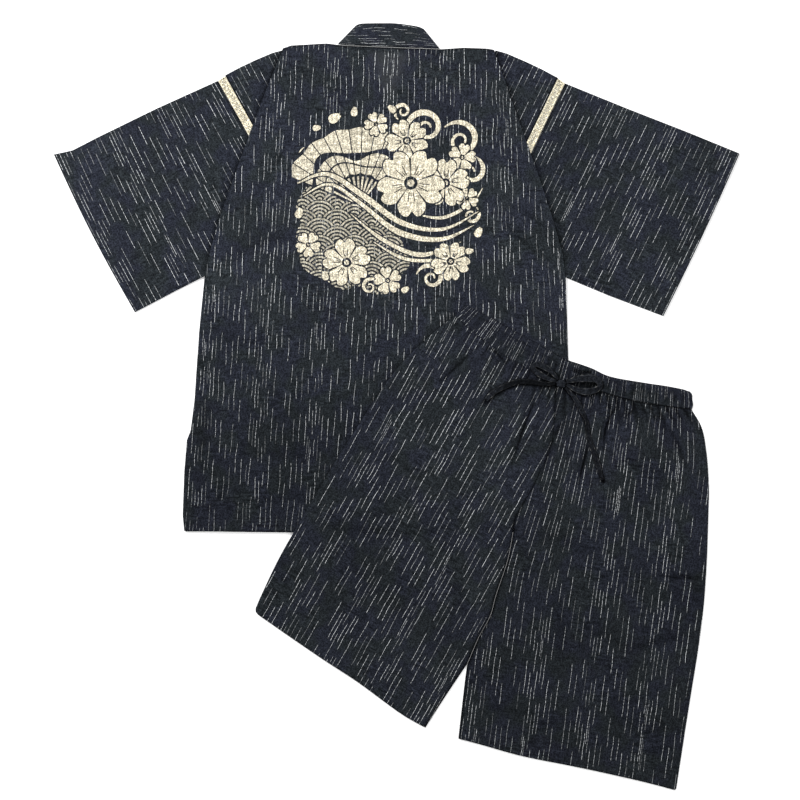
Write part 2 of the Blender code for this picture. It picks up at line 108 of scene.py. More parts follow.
shorts = {
    "restGap": 0.4, "margin": 10, "ramp": 120, "gatherRise": 1.8, "gatherFade": 75,
    "gathers": 16, "sharedPart": 0.79, "hemTurn": 20, "bandRow": 0.72, "lowerLeg": 120,
}
waistRight = ((90, 142), (127, 111), (164, 83), (200, 62), (231, 43), (250, 32))
waistLeft = ((250, 32), (270, 28), (302, 25.5), (323, 22), (352, 14), (387, 6), (460, -4))
waistTopRight = ((109, 158), (147, 139), (186, 117), (227, 95), (263, 74))
waistTopLeft = ((263, 74), (302, 61), (334, 47), (390, 37), (423, 32), (459, 25))
crotchSeam = ((250, 32), (241, -60), (225, -97), (211, -127), (185, -173), (181, -197), (173, -239),
              (155, -294), (146, -326), (128, -360), (110, -402))
legs = {
    "right": {"side": 1, "first": 0, "corner": 9, "grain": 29, "leans": (), "waist": waistRight,
              "outseam": ((90, 142), (50, 109), (5, 65), (-34, 11), (-93, -81), (-162, -198),
                          (-191, -251), (-223, -320)),
              "inseam": ((110, -402), (77, -451), (45, -501)),
              "hem": ((-223, -320), (-126, -387), (-62, -429), (5, -478), (45, -501))},
    "left": {"side": -1, "first": 32, "corner": 4, "grain": 7.5, "waist": waistLeft,
             "leans": ((0.19, -290, -170, 370, 220), (-0.2, -60, 20, 400, 460)),
             "outseam": ((460, -4), (476, -32), (483, -66), (487, -114), (487, -156), (483, -260),
                         (475, -348), (454, -482), (436, -599)),
             "inseam": ((110, -402), (106, -430), (96, -518)),
             "hem": ((96, -518), (130, -527), (199, -546), (289, -564), (379, -584), (436, -599))},
}
bulges = (   # start, end, rise and spread of the full folds below the waist
    ((228, 10), (206, -70), 2.0, 10),
    ((278, 8), (258, -80), 2.2, 10),
    ((317, 4), (291, -104), 2.2, 10),
    ((380, -8), (338, -84), 1.8, 11),
)
shortsCreases = (
    (((217, 27), (212.6, 4), (198.6, -30), (187.7, -63), (178, -96)), 2.7, 5),
    (((350, 10), (334, -12), (325, -35), (322, -68)), 3.4, 5),
    (((378, 3), (365, -9), (351.4, -19)), 2.0, 4),
    (((302, -46), (293, -80), (282, -124)), 3.4, 5),
    (((145, 93), (160, 79), (177, 61)), 2.0, 5.5),
    (((262, -13), (239, -60), (223, -116)), 1.9, 6),
    (((403, -262), (440, -267), (483, -267)), 1.5, 4.5),
    (((13, -17), (52, -31), (91, -39)), 1.0, 12),
    (((-51, -60), (0, -84), (48, -110)), 1.5, 10),
    (((70, -120), (120, -138), (168, -158)), 1.0, 12),
    (((-123, -180), (-42, -195), (52, -198)), 2.0, 16),
    (((204, -204), (255, -200), (296, -222), (312, -246)), 2.3, 20),
    (((244, -258), (258, -340), (256, -426)), 1.6, 19),
    (((301, -343), (364, -378), (426, -361), (473, -361)), 2.0, 14),
    (((340, -70), (380, -95), (423, -111)), 1.6, 13),
    (((-60, -262), (-10, -300), (24, -352)), 1.4, 16),
    (((60, -250), (96, -292), (112, -340)), 1.2, 13),
    (((120, 88), (94, 64), (66, 36)), 2.0, 5.5),
    (((420, -28), (440, -60), (450, -96)), 1.6, 8),
    (((330, -480), (380, -500), (430, -500)), 1.2, 15),
    (((140, -470), (200, -480), (250, -500)), 1.1, 16),
)


def smooth(t):
    t = np.clip(t, 0.0, 1.0)
    return t * t * (3 - 2 * t)


def bell(distance, width, power=2):  # 1 in the middle, nothing past a few widths
    return np.exp(-(distance / width) ** power)


def darkest(first, *others):
    for other in others:
        first = np.maximum(first, other)
    return first


def softNoise(x, y, size, seed):  # about -0.7 to 0.7, the same each time
    x, y = np.broadcast_arrays(np.asarray(x, float), np.asarray(y, float))
    pairs = zip((x.ravel() / size).tolist(), (y.ravel() / size).tolist())
    return np.array([noise.noise((a, b, seed)) for a, b in pairs]).reshape(x.shape)


def curvePoints(points, shares, subdivisions=24):  # points at shares of a smooth curve's length
    p = np.array([points[0], *points, points[-1]], float)
    t = (np.arange(subdivisions) / subdivisions)[:, None]
    fine = [0.5 * (2 * b + (c - a) * t + (2 * a - 5 * b + 4 * c - d) * t ** 2
                   + (3 * b - a - 3 * c + d) * t ** 3)
            for a, b, c, d in zip(p, p[1:], p[2:], p[3:])]
    fine = np.concatenate([*fine, p[-1:]])
    lengths = np.concatenate([[0], np.cumsum(np.linalg.norm(np.diff(fine, axis=0), axis=1))])
    at = np.asarray(shares) * lengths[-1]
    return np.stack([np.interp(at, lengths, fine[:, k]) for k in range(p.shape[1])], axis=1)


def runLength(points):
    return float(np.linalg.norm(np.diff(np.asarray(points, float), axis=0), axis=1).sum())


def lengthsAlong(x, y, axis):  # distance covered from the first row or column on
    steps = np.hypot(np.diff(x, axis=axis), np.diff(y, axis=axis))
    return np.insert(np.cumsum(steps, axis=axis), 0, 0, axis=axis)


def distanceToLine(x, y, line):  # to a polyline, and the share of the way along it
    line = np.asarray(line, float)
    lengths = np.linalg.norm(np.diff(line, axis=0), axis=1)
    before = np.concatenate([[0], np.cumsum(lengths)])
    best, share = np.full(np.shape(x), 1e9), np.zeros(np.shape(x))
    for start, end, length, done in zip(line, line[1:], lengths, before):
        run = (end - start) / length
        along = np.clip((x - start[0]) * run[0] + (y - start[1]) * run[1], 0, length)
        away = np.hypot(x - start[0] - along * run[0], y - start[1] - along * run[1])
        share = np.where(away < best, (done + along) / before[-1], share)
        best = np.minimum(best, away)
    return best, share


def creaseTaper(share):
    return np.sin(math.pi * np.clip(share, 0.02, 0.98)) ** 0.6


def creaseRelief(x, y, creases):  # a soft trough with a low lip on each side
    total = np.zeros(np.shape(x))
    for line, depth, width in creases:
        away, share = distanceToLine(x, y, line)
        near = away / width
        total += depth * creaseTaper(share) * (0.5 * np.exp(-(near - 1.9) ** 2) - np.exp(-near ** 2))
    return total


def creaseShade(x, y, creases):  # how little light reaches a trough, most in deep and narrow ones
    total = np.zeros(np.shape(x))
    for line, depth, width in creases:
        away, share = distanceToLine(x, y, line)
        steep = min(1.0, 2.2 * depth / width)
        total = np.maximum(total, steep * creaseTaper(share) * bell(1.9 * away, width))
    return total


def waves(x, y, seed):
    return cloth["waves"] * (softNoise(x, y, 95, seed) + 0.6 * softNoise(x, y, 40, seed + 3.3)
                             + 0.3 * softNoise(x, y, 16, seed + 6.1))


def edgeShares(count, edge):  # shares from 0 to 1, close together at both ends
    return np.concatenate([[0, 0.35 * edge, edge, 2.2 * edge],
                           np.linspace(4 * edge, 1 - 4 * edge, count),
                           [1 - 2.2 * edge, 1 - edge, 1 - 0.35 * edge, 1]])


def halfWidth(drop, side):
    return np.where(np.asarray(side) < 0, np.interp(drop, bodyDrops, bodyLeft),
                    np.interp(drop, bodyDrops, bodyRight))


def bodyLevel(across, drop):
    rise = np.interp(across, shoulderAcross, shoulderRise)
    return jacket["shoulderY"] - drop + rise * (1 - smooth(drop / jacket["shoulderFade"]))


def outsideBack(x, y):  # how far a place is past the back's side edge, negative on the back
    across = x - jacket["centreX"]
    drop = np.maximum(jacket["shoulderY"] - y, 0)
    return np.abs(across) - halfWidth(drop, across)


def frontEdge(drop, side):
    low = smooth((drop - jacket["sleeveZoneEnd"]) / 60)
    inset = jacket["frontInsetHigh"] + low * (jacket["frontInsetLow"] - jacket["frontInsetHigh"])
    return halfWidth(drop, side) - inset


def sleeveLevel(x, y):  # underside of the sleeves, lace and shoulder folds
    across = x - jacket["centreX"]
    outside = np.abs(across) - frontEdge(np.maximum(jacket["shoulderY"] - y, 0), across)
    return cloth["layer"] * (1 - smooth((outside - jacket["sleeveMargin"]) / jacket["sleeveRamp"]))


def backLevel(x, y):  # underside of the back
    lowered = smooth((jacket["shoulderY"] - y - jacket["backRampStart"]) / jacket["backRamp"])
    return jacket["backHigh"] + lowered * (jacket["backLow"] - jacket["backHigh"])


def leftFrontLevel(x, y):
    return np.zeros(np.shape(x))


def rightFrontLevel(x, y):
    crossing = np.interp(jacket["shoulderY"] - y, frontDrops, frontCross) + jacket["collarWidth"] + 12
    return cloth["layer"] * (1 - smooth((x - jacket["centreX"] - crossing) / 40))


def backRelief(x, y):  # waves, creases and turned hem of the jacket's back
    drop = jacket["shoulderY"] - y
    relief = cloth["lift"] + waves(x, y, 1.7) + creaseRelief(x, y, jacketCreases)
    inside = smooth((-outsideBack(x, y) - 2) / 22) * smooth(drop / 30)
    free = smooth((jacket["length"] - drop) / 40)
    relief = np.maximum(relief, -0.3) * inside * (0.35 + 0.65 * free)
    hem = jacket["length"] - drop - 1.5 * np.clip(np.cos(x / 90), 0, 1)
    stitched = bell(hem - jacket["hemTurn"], 1.6)
    return relief + 0.4 * smooth((jacket["hemTurn"] - hem) / 2) - 0.35 * stitched * inside


def backSideDrop(x, y):  # below the sleeves the back's edge turns down to meet the fronts
    drop = jacket["shoulderY"] - y
    return (jacket["backLow"] - 0.9) * (1 - smooth((-outsideBack(x, y)) / 3)) * smooth((drop - 385) / 15)


def backUnder(x, y):
    return backLevel(x, y) + backRelief(x, y) - backSideDrop(x, y)


def shortsLevel(x, y):  # underside of the shorts: on the jacket inside its edge, on the surface beyond
    across = x - jacket["centreX"]
    drop = jacket["shoulderY"] - y
    outside = np.maximum(np.abs(across) - halfWidth(drop, across), drop - jacket["length"])
    onJacket = 1 - smooth((outside - shorts["margin"]) / shorts["ramp"])
    inJacket = 1 - smooth((outside + 4) / 30)
    relief = np.maximum(backRelief(x, np.maximum(y, jacket["shoulderY"] - jacket["length"])), 0)
    return (backLevel(x, y) + 1 + shorts["restGap"]) * onJacket + relief * inJacket


def bulgeRelief(x, y):
    total = np.zeros(np.shape(x))
    for start, end, rise, spread in bulges:
        run = np.subtract(end, start)
        along = ((x - start[0]) * run[0] + (y - start[1]) * run[1]) / (run @ run)
        away = np.hypot(x - start[0] - along * run[0], y - start[1] - along * run[1])
        inRange = (along > 0) & (along < 1)
        total += np.where(inRange, rise * np.sin(math.pi * along) * bell(away, spread), 0)
    return total


def shortsRelief(x, y):
    relief = cloth["lift"] + 1.15 * waves(x, y, 12.4) + creaseRelief(x, y, shortsCreases)
    return np.maximum(relief, -0.1) + bulgeRelief(x, y)


def gatherWave(column):  # rise of the waist's gathers, a crest near each odd column
    shifted = column + 0.5 * softNoise(column, 0.5, 1.9, 3.7)
    height = 0.72 + 0.28 * np.sin(1.7 * column) + 0.3 * softNoise(column, 0.2, 1.3, 9.9)
    return shorts["gatherRise"] * height * (0.5 - 0.5 * np.cos(math.pi * shifted))


def patch(first, last, left, right, shares):  # plan rows that fill four edges
    v = np.linspace(0, 1, len(left))[:, None, None]
    u = np.asarray(shares)[None, :, None]
    corners = ((1 - u) * (1 - v) * first[0] + u * (1 - v) * first[-1]
               + (1 - u) * v * last[0] + u * v * last[-1])
    return ((1 - v) * first[None] + v * last[None] + (1 - u) * left[:, None] + u * right[:, None]
            - corners)


# Shader groups: the woven cloth, and the thread-fine grain that the plain finishes share.


class Value:  # what a node's socket gives, so that sums can be written as sums
    def __init__(self, tree, socket):
        self.tree, self.socket = tree, socket

    def __add__(self, other):
        return calculate("ADD", self, other)

    def __sub__(self, other):
        return calculate("SUBTRACT", self, other)

    def __rsub__(self, other):
        return calculate("SUBTRACT", other, self)

    def __mul__(self, other):
        return calculate("MULTIPLY", self, other)

    def __truediv__(self, other):
        return calculate("DIVIDE", self, other)

    def __mod__(self, other):
        return calculate("FLOORED_MODULO", self, other)

    def __gt__(self, other):
        return calculate("GREATER_THAN", self, other)

    def __lt__(self, other):
        return calculate("LESS_THAN", self, other)


def setInputs(node, inputs):  # by name or by number
    for socket, value in (inputs.items() if isinstance(inputs, dict) else enumerate(inputs)):
        if isinstance(value, Value):
            node.id_data.links.new(value.socket, node.inputs[socket])
        else:
            node.inputs[socket].default_value = value


def addNode(tree, kind, inputs=(), **settings):
    node = tree.nodes.new(kind)
    for key, value in settings.items():
        setattr(node, key, value)
    setInputs(node, inputs)
    return node


def valueOf(tree, kind, inputs=(), output=0, **settings):
    return Value(tree, addNode(tree, kind, inputs, **settings).outputs[output])


def calculate(operation, *values):
    tree = next(value.tree for value in values if isinstance(value, Value))
    return valueOf(tree, "ShaderNodeMath", values, operation=operation)


def mixColours(factor, first, second):
    return valueOf(factor.tree, "ShaderNodeMix", {0: factor, 6: first, 7: second}, 2, data_type="RGBA")


def scaledColour(colour, factor):
    return valueOf(factor.tree, "ShaderNodeVectorMath", {0: colour, "Scale": factor}, operation="SCALE")


def stretched(vector, across, along):
    return valueOf(vector.tree, "ShaderNodeVectorMath", (vector, (across, along, 1)), operation="MULTIPLY")


def split(value, kind="XYZ"):  # into its three numbers
    return [Value(value.tree, socket)
            for socket in addNode(value.tree, "ShaderNodeSeparate" + kind, (value,)).outputs]


def noiseAt(vector, scale, detail, roughness=0.5):
    return valueOf(vector.tree, "ShaderNodeTexNoise", {
        "Vector": vector, "Scale": scale, "Detail": detail, "Roughness": roughness}, "Fac")


def remap(value, low, high, toLow=0.0, toHigh=1.0):
    return valueOf(value.tree, "ShaderNodeMapRange", (value, low, high, toLow, toHigh),
                   interpolation_type="SMOOTHSTEP")


def startGroup(name, kind, inputs, outputs):  # a group of nodes and what it is given
    tree = bpy.data.node_groups.new(name, kind)
    for title, socketKind, value in inputs:
        socket = tree.interface.new_socket(title, in_out="INPUT", socket_type="NodeSocket" + socketKind)
        if value is not None:
            socket.default_value = value
    for title, socketKind in outputs:
        tree.interface.new_socket(title, in_out="OUTPUT", socket_type="NodeSocket" + socketKind)
    sockets = tree.nodes.new("NodeGroupInput").outputs
    return tree, {title: Value(tree, sockets[title]) for title, socketKind, value in inputs}


weave = {
    "threadPitch": 0.55, "threadRelief": 0.05,
    "puckerWidth": 3.4, "puckerLength": 9.0, "puckerRelief": 0.6,
    "rippleWidth": 15.0, "rippleLength": 4.0, "rippleRelief": 0.5,
}


def buildWeaveGroup():  # height and fine tone of a crinkled plain weave, grain in millimetres
    tree, given = startGroup(
        "crinkledWeave", "ShaderNodeTree", (("Grain", "Vector", None), ("Crinkle", "Float", 1.0)),
        (("Height", "Float"), ("Tone", "Float")))
    x, y = split(given["Grain"])[:2]
    turn = 2 * math.pi / weave["threadPitch"]
    threads = calculate("SINE", x * turn) * calculate("SINE", y * turn)

    def spots(width, length, detail=1.0):
        return noiseAt(stretched(given["Grain"], 1 / width, 1 / length), 1.0, detail, 0.55)

    pucker = spots(weave["puckerWidth"], weave["puckerLength"], 2.0)
    ripple = spots(weave["rippleWidth"], weave["rippleLength"])
    patches = remap(spots(60, 60), 0.42, 0.62)
    crinkle = (pucker * weave["puckerRelief"] + ripple * patches * weave["rippleRelief"]) * given["Crinkle"]
    # Fine tone: the weave's threads and random spots, and painted shade that darkens the hollows of the
    # puckers and ripples.
    tone = (threads * 0.16 + 1.0) * remap(spots(1.9, 2.3), 0.38, 0.62, 0.6, 1.4)
    tone = tone * remap(pucker, 0.35, 0.65, 0.75, 1.25)
    tone = tone * (patches * remap(ripple, 0.36, 0.64, -0.3, 0.3) + 1.0)
    addNode(tree, "NodeGroupOutput", {"Height": threads * weave["threadRelief"] + crinkle, "Tone": tone})
    return tree


stripes = {   # a bundle of close lines, then five single ones, over and over across the cloth
    "wide": 8.7, "repeat": 10, "fineSteps": 33, "bundleEnd": 2.5, "fineLines": 9,
    "lineHalf": 0.29, "stair": 0.21, "share": 0.36, "shareSpread": 0.46, "bundleShare": 0.38,
    "startRepeat": 400, "bundleKey": 7000,
}


def buildStripeGroup():  # light dashes dyed into single warp threads
    tree, given = startGroup(
        "dashedWarp", "ShaderNodeTree", (("Grain", "Vector", None), ("Seed", "Float", 0.0),
                                         ("Run", "Float", 72.0), ("Drift", "Float", 1.0)),
        (("Dash", "Float"), ("FlankShade", "Float")))

    def oddsOf(a, b):  # three random numbers for each pair
        place = valueOf(tree, "ShaderNodeCombineXYZ", (a, b, given["Seed"]))
        return split(valueOf(tree, "ShaderNodeTexWhiteNoise", {"Vector": place}, "Color",
                             noise_dimensions="3D"), "Color")

    # Which line of the cloth a place is on, and how far it is from the line's middle.
    wide = stripes["wide"]
    x, y = split(given["Grain"])[:2]
    drift = noiseAt(given["Grain"], 0.03, 2.0) * given["Drift"]
    u = x + (drift + stripes["startRepeat"] * stripes["repeat"] * wide)
    inBundle = calculate("FLOOR", u / wide) % stripes["repeat"] < stripes["bundleEnd"]
    pitch = inBundle * (wide * stripes["repeat"] / stripes["fineSteps"] - wide) + wide
    across = u / pitch
    column = calculate("FLOOR", across)
    finePlace = column % stripes["fineSteps"]
    key = inBundle * stripes["bundleKey"] + column
    odds = oddsOf(key, 0.0)
    aside = pitch * calculate("ABSOLUTE", calculate("FRACT", across) - (odds[1] * 0.2 + 0.4))
    line = remap(aside, 0.5 * stripes["lineHalf"], 1.3 * stripes["lineHalf"], 1.0, 0.0)

    # Where along the line its dash begins and ends.
    stairs = column * stripes["stair"] + odds[0] * 0.7
    phase = inBundle * (odds[2] - stairs) + stairs
    along = y / (given["Run"] * (inBundle * -0.12 + 1.0)) + phase + 90.0
    cell = calculate("FLOOR", along)
    fraction = calculate("FRACT", along)
    own = oddsOf(key, cell * 3.0 + 11.0)
    share = inBundle * (stripes["bundleShare"] - stripes["share"]) + stripes["share"]
    share = share + own[1] * stripes["shareSpread"]
    start = (0.97 - share) * (own[0] * 0.6)
    dash = remap(fraction - start, 0.0, 0.045) * remap(start + share - fraction, 0.0, 0.045)

    # Every other fine line carries few dashes, every fourth none; some are missed anywhere.
    between = inBundle * (finePlace % 2.0)
    never = between * (finePlace % 4.0 > 2.5)
    pastBundle = inBundle * (finePlace > stripes["fineLines"] - 0.5)
    carries = (oddsOf(cell, key)[0] > between * 0.83 + 0.05 + never) * (1.0 - pastBundle)
    beads = remap(noiseAt(given["Grain"], 0.33, 2.0), 0.38, 0.6, 0.15, 1.15)
    dash = dash * beads * (own[2] * 0.75 + 0.25) * carries
    flankShade = remap(aside, 1.0, 2.3, 1.0, 0.0)       # painted shade beside each dash, where the light thread stands up from its neighbours
    addNode(tree, "NodeGroupOutput", {"Dash": dash * line, "FlankShade": flankShade * dash})
    return tree


weaveGroup = buildWeaveGroup()
stripeGroup = buildStripeGroup()

navy = {
    "bluish": (0.0193, 0.0220, 0.0314, 1), "greenish": (0.0190, 0.0228, 0.0262, 1),
    "dash": (0.84, 0.87, 0.89, 1), "paintedShowThrough": (0.055, 0.057, 0.06, 1), "shade": 0.9, "flankShade": 0.55,
    "roughness": 0.9, "specular": 0.02, "bump": 1.0,
}
plain = {"roughness": 0.85, "specular": 0.05}


def startMaterial(name, crinkle=1.0):
    material = bpy.data.materials.new(name)
    material.use_nodes = True
    tree = material.node_tree
    grain = stretched(valueOf(tree, "ShaderNodeUVMap", uv_map="grain"), 1 / mm, 1 / mm)
    woven = addNode(tree, "ShaderNodeGroup", {"Grain": grain, "Crinkle": crinkle}, node_tree=weaveGroup)
    height, tone = (Value(tree, woven.outputs[title]) for title in ("Height", "Tone"))
    return material, grain, height, tone, valueOf(tree, "ShaderNodeTexCoord", (), "Object")


def marked(tree, name):
    return valueOf(tree, "ShaderNodeAttribute", (), "Fac", attribute_name=name)


def finishMaterial(material, colour, height, finish):
    tree = material.node_tree
    kept = marked(tree, "shade") * -navy["shade"] + 1.0          # deep troughs hold less light
    bump = valueOf(tree, "ShaderNodeBump", {"Strength": navy["bump"], "Distance": mm, "Height": height})
    setInputs(tree.nodes["Principled BSDF"], {
        "Base Color": scaledColour(colour, kept), "Normal": bump, "Roughness": finish["roughness"],
        "Specular IOR Level": finish["specular"]})
    return material


def clothMaterial(name, seed, run, drift, tone=1.0):
    material, grain, height, fine, place = startMaterial(name)
    tree = material.node_tree
    striped = addNode(tree, "ShaderNodeGroup", {"Grain": grain, "Seed": float(seed), "Run": run,
                                                "Drift": drift}, node_tree=stripeGroup)
    dash, flankShade = (Value(tree, striped.outputs[title]) for title in ("Dash", "FlankShade"))
    ground = mixColours(remap(noiseAt(place, 22.0, 2.0), 0.4, 0.6), navy["bluish"], navy["greenish"])
    ground = scaledColour(ground, fine * remap(noiseAt(place, 9.0, 3.0), 0.3, 0.7, 0.9 * tone, 1.1 * tone))
    # painted light where the pale surface would show through a single layer
    ground = mixColours(marked(tree, "paintedShowThrough"), ground, navy["paintedShowThrough"])
    # painted shade on the ground beside each light dash
    ground = scaledColour(ground, flankShade * -navy["flankShade"] + 1.0)
    return finishMaterial(material, mixColours(dash, ground, navy["dash"]), height, navy)


def plainMaterial(name, colour, dark, crinkle, scale=3.0, edge=None, streak=0.0):
    material, grain, height, fine, place = startMaterial(name, crinkle)
    worn = noiseAt(place, 100.0 * scale, 3.0)
    ground = mixColours(remap(worn, 0.34, 0.6), (*dark, 1), (*colour, 1))
    if edge is not None:                        # a second colour by the edge mark: painted highlight along the tie's band edges, thinner ink in the print
        ground = mixColours(marked(material.node_tree, "edge"), ground, (*edge, 1))
    if streak:                                  # ink worn off the raised warp threads
        rubbed = noiseAt(stretched(grain, 0.42, 0.015), 1.0, 2.0)
        ground = scaledColour(ground, remap(rubbed, 0.34, 0.52, 1 - streak, 1.0))
    return finishMaterial(material, scaledColour(ground, fine), height, plain)


def cornersOf(mesh):  # the vertex at each corner of its faces
    corners = np.zeros(len(mesh.loops), np.int32)
    mesh.loops.foreach_get("vertex_index", corners)
    return corners


def makeMesh(name, vertices, faces, material, grain):  # all in millimetres, a grain for each vertex
    mesh = bpy.data.meshes.new(name)
    mesh.from_pydata((np.asarray(vertices) * mm).tolist(), [],
                     faces if isinstance(faces, list) else faces.tolist())
    mesh.polygons.foreach_set("use_smooth", [True] * len(mesh.polygons))
    layer = mesh.uv_layers.new(name="grain")
    layer.data.foreach_set("uv", (np.asarray(grain) * mm).astype(np.float32)[cornersOf(mesh)].ravel())
    mesh.materials.append(material)
    item = bpy.data.objects.new(name, mesh)
    scene.collection.objects.link(item)
    return item


def gridFaces(grid):  # a face for each cell of a grid of vertex numbers
    return np.stack([grid[:-1, :-1], grid[1:, :-1], grid[1:, 1:], grid[:-1, 1:]], axis=-1).reshape(-1, 4)


def turnOutward(mesh, merged=0):  # after merging points closer than a distance
    build = bmesh.new()
    build.from_mesh(mesh)
    if merged:
        bmesh.ops.remove_doubles(build, verts=build.verts, dist=merged * mm)
    bmesh.ops.recalc_face_normals(build, faces=build.faces)
    highest = max(build.faces, key=lambda face: face.calc_center_median().z)
    if highest.normal.z < 0:
        bmesh.ops.reverse_faces(build, faces=build.faces)
    build.to_mesh(mesh)
    build.free()


def addWall(item, thickness, outward):
    shell = item.modifiers.new("wall", "SOLIDIFY")
    shell.thickness = thickness * mm
    shell.offset = outward


def mark(item, name, values):
    layer = item.data.attributes.new(name, "FLOAT", "POINT")
    layer.data.foreach_set("value", np.clip(values, 0, 1).astype(np.float32).ravel())


def makeCloth(name, x, y, z, u, v, material, closed=False, outward=1, shade=None):
    vertices = np.stack([x, y, z], axis=-1).reshape(-1, 3)
    grid = np.arange(x.size).reshape(x.shape)
    if closed:
        grid = np.concatenate([grid, grid[:, :1]], axis=1)
    faces = gridFaces(grid)
    a, b, d = (vertices[faces[0][n]] for n in (0, 1, 3))
    if np.cross(b - a, d - a)[2] < 0:
        faces = faces[:, ::-1]
    item = makeMesh(name, vertices, faces, material, np.stack([u, v], axis=-1).reshape(-1, 2))
    if shade is not None:
        mark(item, "shade", shade + 0 * x)
    addWall(item, cloth["wall"], outward)
    return item


def foldAround(end, neighbour, base):  # points round a folded edge, from its top to its underside
    outward = (end - neighbour) / np.linalg.norm(end - neighbour, axis=-1, keepdims=True)
    radius = cloth["foldRadius"]
    angles = np.pi / 2 - np.pi * np.arange(1, cloth["foldSteps"]) / cloth["foldSteps"]
    plan = end[:, None, :] + outward[:, None, :] * (radius * np.cos(angles))[None, :, None]
    return plan, base[:, None] + radius * (1 + np.sin(angles))[None, :]


def ringOf(plan, level, relief, closed=True):  # a folded cloth's rings of points, upper side first
    x, y = plan[..., 0], plan[..., 1]
    low = level(x, y)
    farPlan, farHeight = foldAround(plan[:, -1], plan[:, -2], low[:, -1])
    parts = [plan, farPlan, plan[:, ::-1]]
    heights = [low + 2 * cloth["foldRadius"] + relief, farHeight, low[:, ::-1]]
    if closed:
        nearPlan, nearHeight = foldAround(plan[:, 0], plan[:, 1], low[:, 0])
        parts.append(nearPlan[:, ::-1])
        heights.append(nearHeight[:, ::-1])
    ring = np.concatenate(parts, axis=1)
    return ring[..., 0], ring[..., 1], np.concatenate(heights, axis=1)


def withPlaces(shares, *places):
    return np.unique(np.concatenate([shares, places]).clip(0, 1))


def hemPlaces(length, turn):  # extra rows across a turned hem, as shares of the length
    return 1 - (np.array([-3.2, -1.8, -0.9, 0, 0.9, 1.8, 3.2]) + turn) / length


def turnedHem(fromEdge, turn, rise, sink):  # it stands up, and its row of stitches sinks in
    return rise * smooth((turn - fromEdge) / 2) - sink * bell(fromEdge - turn, 1.6)


def spanRows(start, end, steps):  # rows of places from one line to another
    steps = steps[None, :, None]
    return start[:, None] * (1 - steps) + end[:, None] * steps


# Camera: straight above, framed as wide as the set with its margins.

view = {"aim": (5.15, 10.6), "height": 3504.0, "distance": 3500.0, "frameWidth": 1248.0}


def buildCamera():
    data = bpy.data.cameras.new("viewCamera")
    data.sensor_width = 36.0
    data.lens = data.sensor_width * view["distance"] / view["frameWidth"]
    data.clip_end = 20.0
    camera = bpy.data.objects.new("viewCamera", data)
    camera.location = Vector((*view["aim"], view["height"])) * mm
    scene.collection.objects.link(camera)
    scene.camera = camera


buildCamera()


# The jacket


def buildBack(material):
    fractions = 2 * edgeShares(136, 0.003) - 1
    shares = withPlaces(np.linspace(0, 1, 176), *(np.array([0.6, 1.3, 2.4]) / jacket["length"]),
                        *hemPlaces(jacket["length"], jacket["hemTurn"]), 1 - 1.2 / jacket["length"])
    drop = (shares * jacket["length"])[:, None] + 0 * fractions[None, :]
    across = fractions[None, :] * halfWidth(drop, fractions[None, :])
    x = jacket["centreX"] + across
    y = bodyLevel(across, drop) - jacket["hemSag"] * (1 - fractions[None, :] ** 2) * smooth(
        (shares[:, None] - 0.9) * 10)
    z = backUnder(x, y) - 3.2 * (1 - smooth(drop / 2.4))
    shade = darkest(creaseShade(x, y, jacketCreases), 0.55 * bell(drop - 1, 2.2))
    shade += 0.36 * smooth((drop - 330) / 330) + 0.4 * bell(jacket["length"] - drop, 1.6)
    edge = distanceToLine(x, y, legs["right"]["outseam"])[0]      # beside the shorts' raised edge
    shade = darkest(shade, 0.5 * bell(edge, 8))
    # The warp leans a little with the left side and less with the right.
    u = across + (0.035 * drop + 0.00003 * drop ** 2) * smooth((100 - across) / 200)
    u = u - 0.03 * drop * smooth((across - 120) / 120)
    piece = makeCloth("jacketBack", x, y, z, u, y, material, shade=shade)
    # Under the neck only one layer lies on the pale surface; the light showing through it is painted as a
    # lighter colour.
    inward = np.interp(drop, (0, 62, 100), (34, 12, 0)) - np.abs(across - 6)
    mark(piece, "paintedShowThrough", 0.3 * smooth(inward / 16 + 0.4) * smooth((drop - 3) / 10)
         * (1 - smooth((drop - 60) / 45)))
    return piece


def buildFront(name, side, level, material):
    fractions = edgeShares(40, 0.006)
    drop = (np.linspace(0, 1, 90) * jacket["length"])[:, None] + 0 * fractions[None, :]
    outer = side * frontEdge(drop, side)
    inner = -side * np.interp(drop, frontDrops, frontCross)
    across = outer + fractions[None, :] * (inner - outer)
    x, y = jacket["centreX"] + across, bodyLevel(across, drop) - 1
    return makeCloth(name, x, y, level(x, y), across, y, material)


def buildFrontCollar(name, side, level, material):
    fractions = edgeShares(6, 0.02)
    drop = (np.linspace(0, 1, 90) * jacket["length"])[:, None] + 0 * fractions[None, :]
    cross = np.interp(drop, frontDrops, frontCross)
    gap = 1.5 * jacket["seamGap"]
    across = -side * (cross + gap + fractions[None, :] * (jacket["collarWidth"] - gap))
    x, y = jacket["centreX"] + across, bodyLevel(across, drop) - 1
    return makeCloth(name, x, y, level(x, y), across - across[:, :1], y, material)


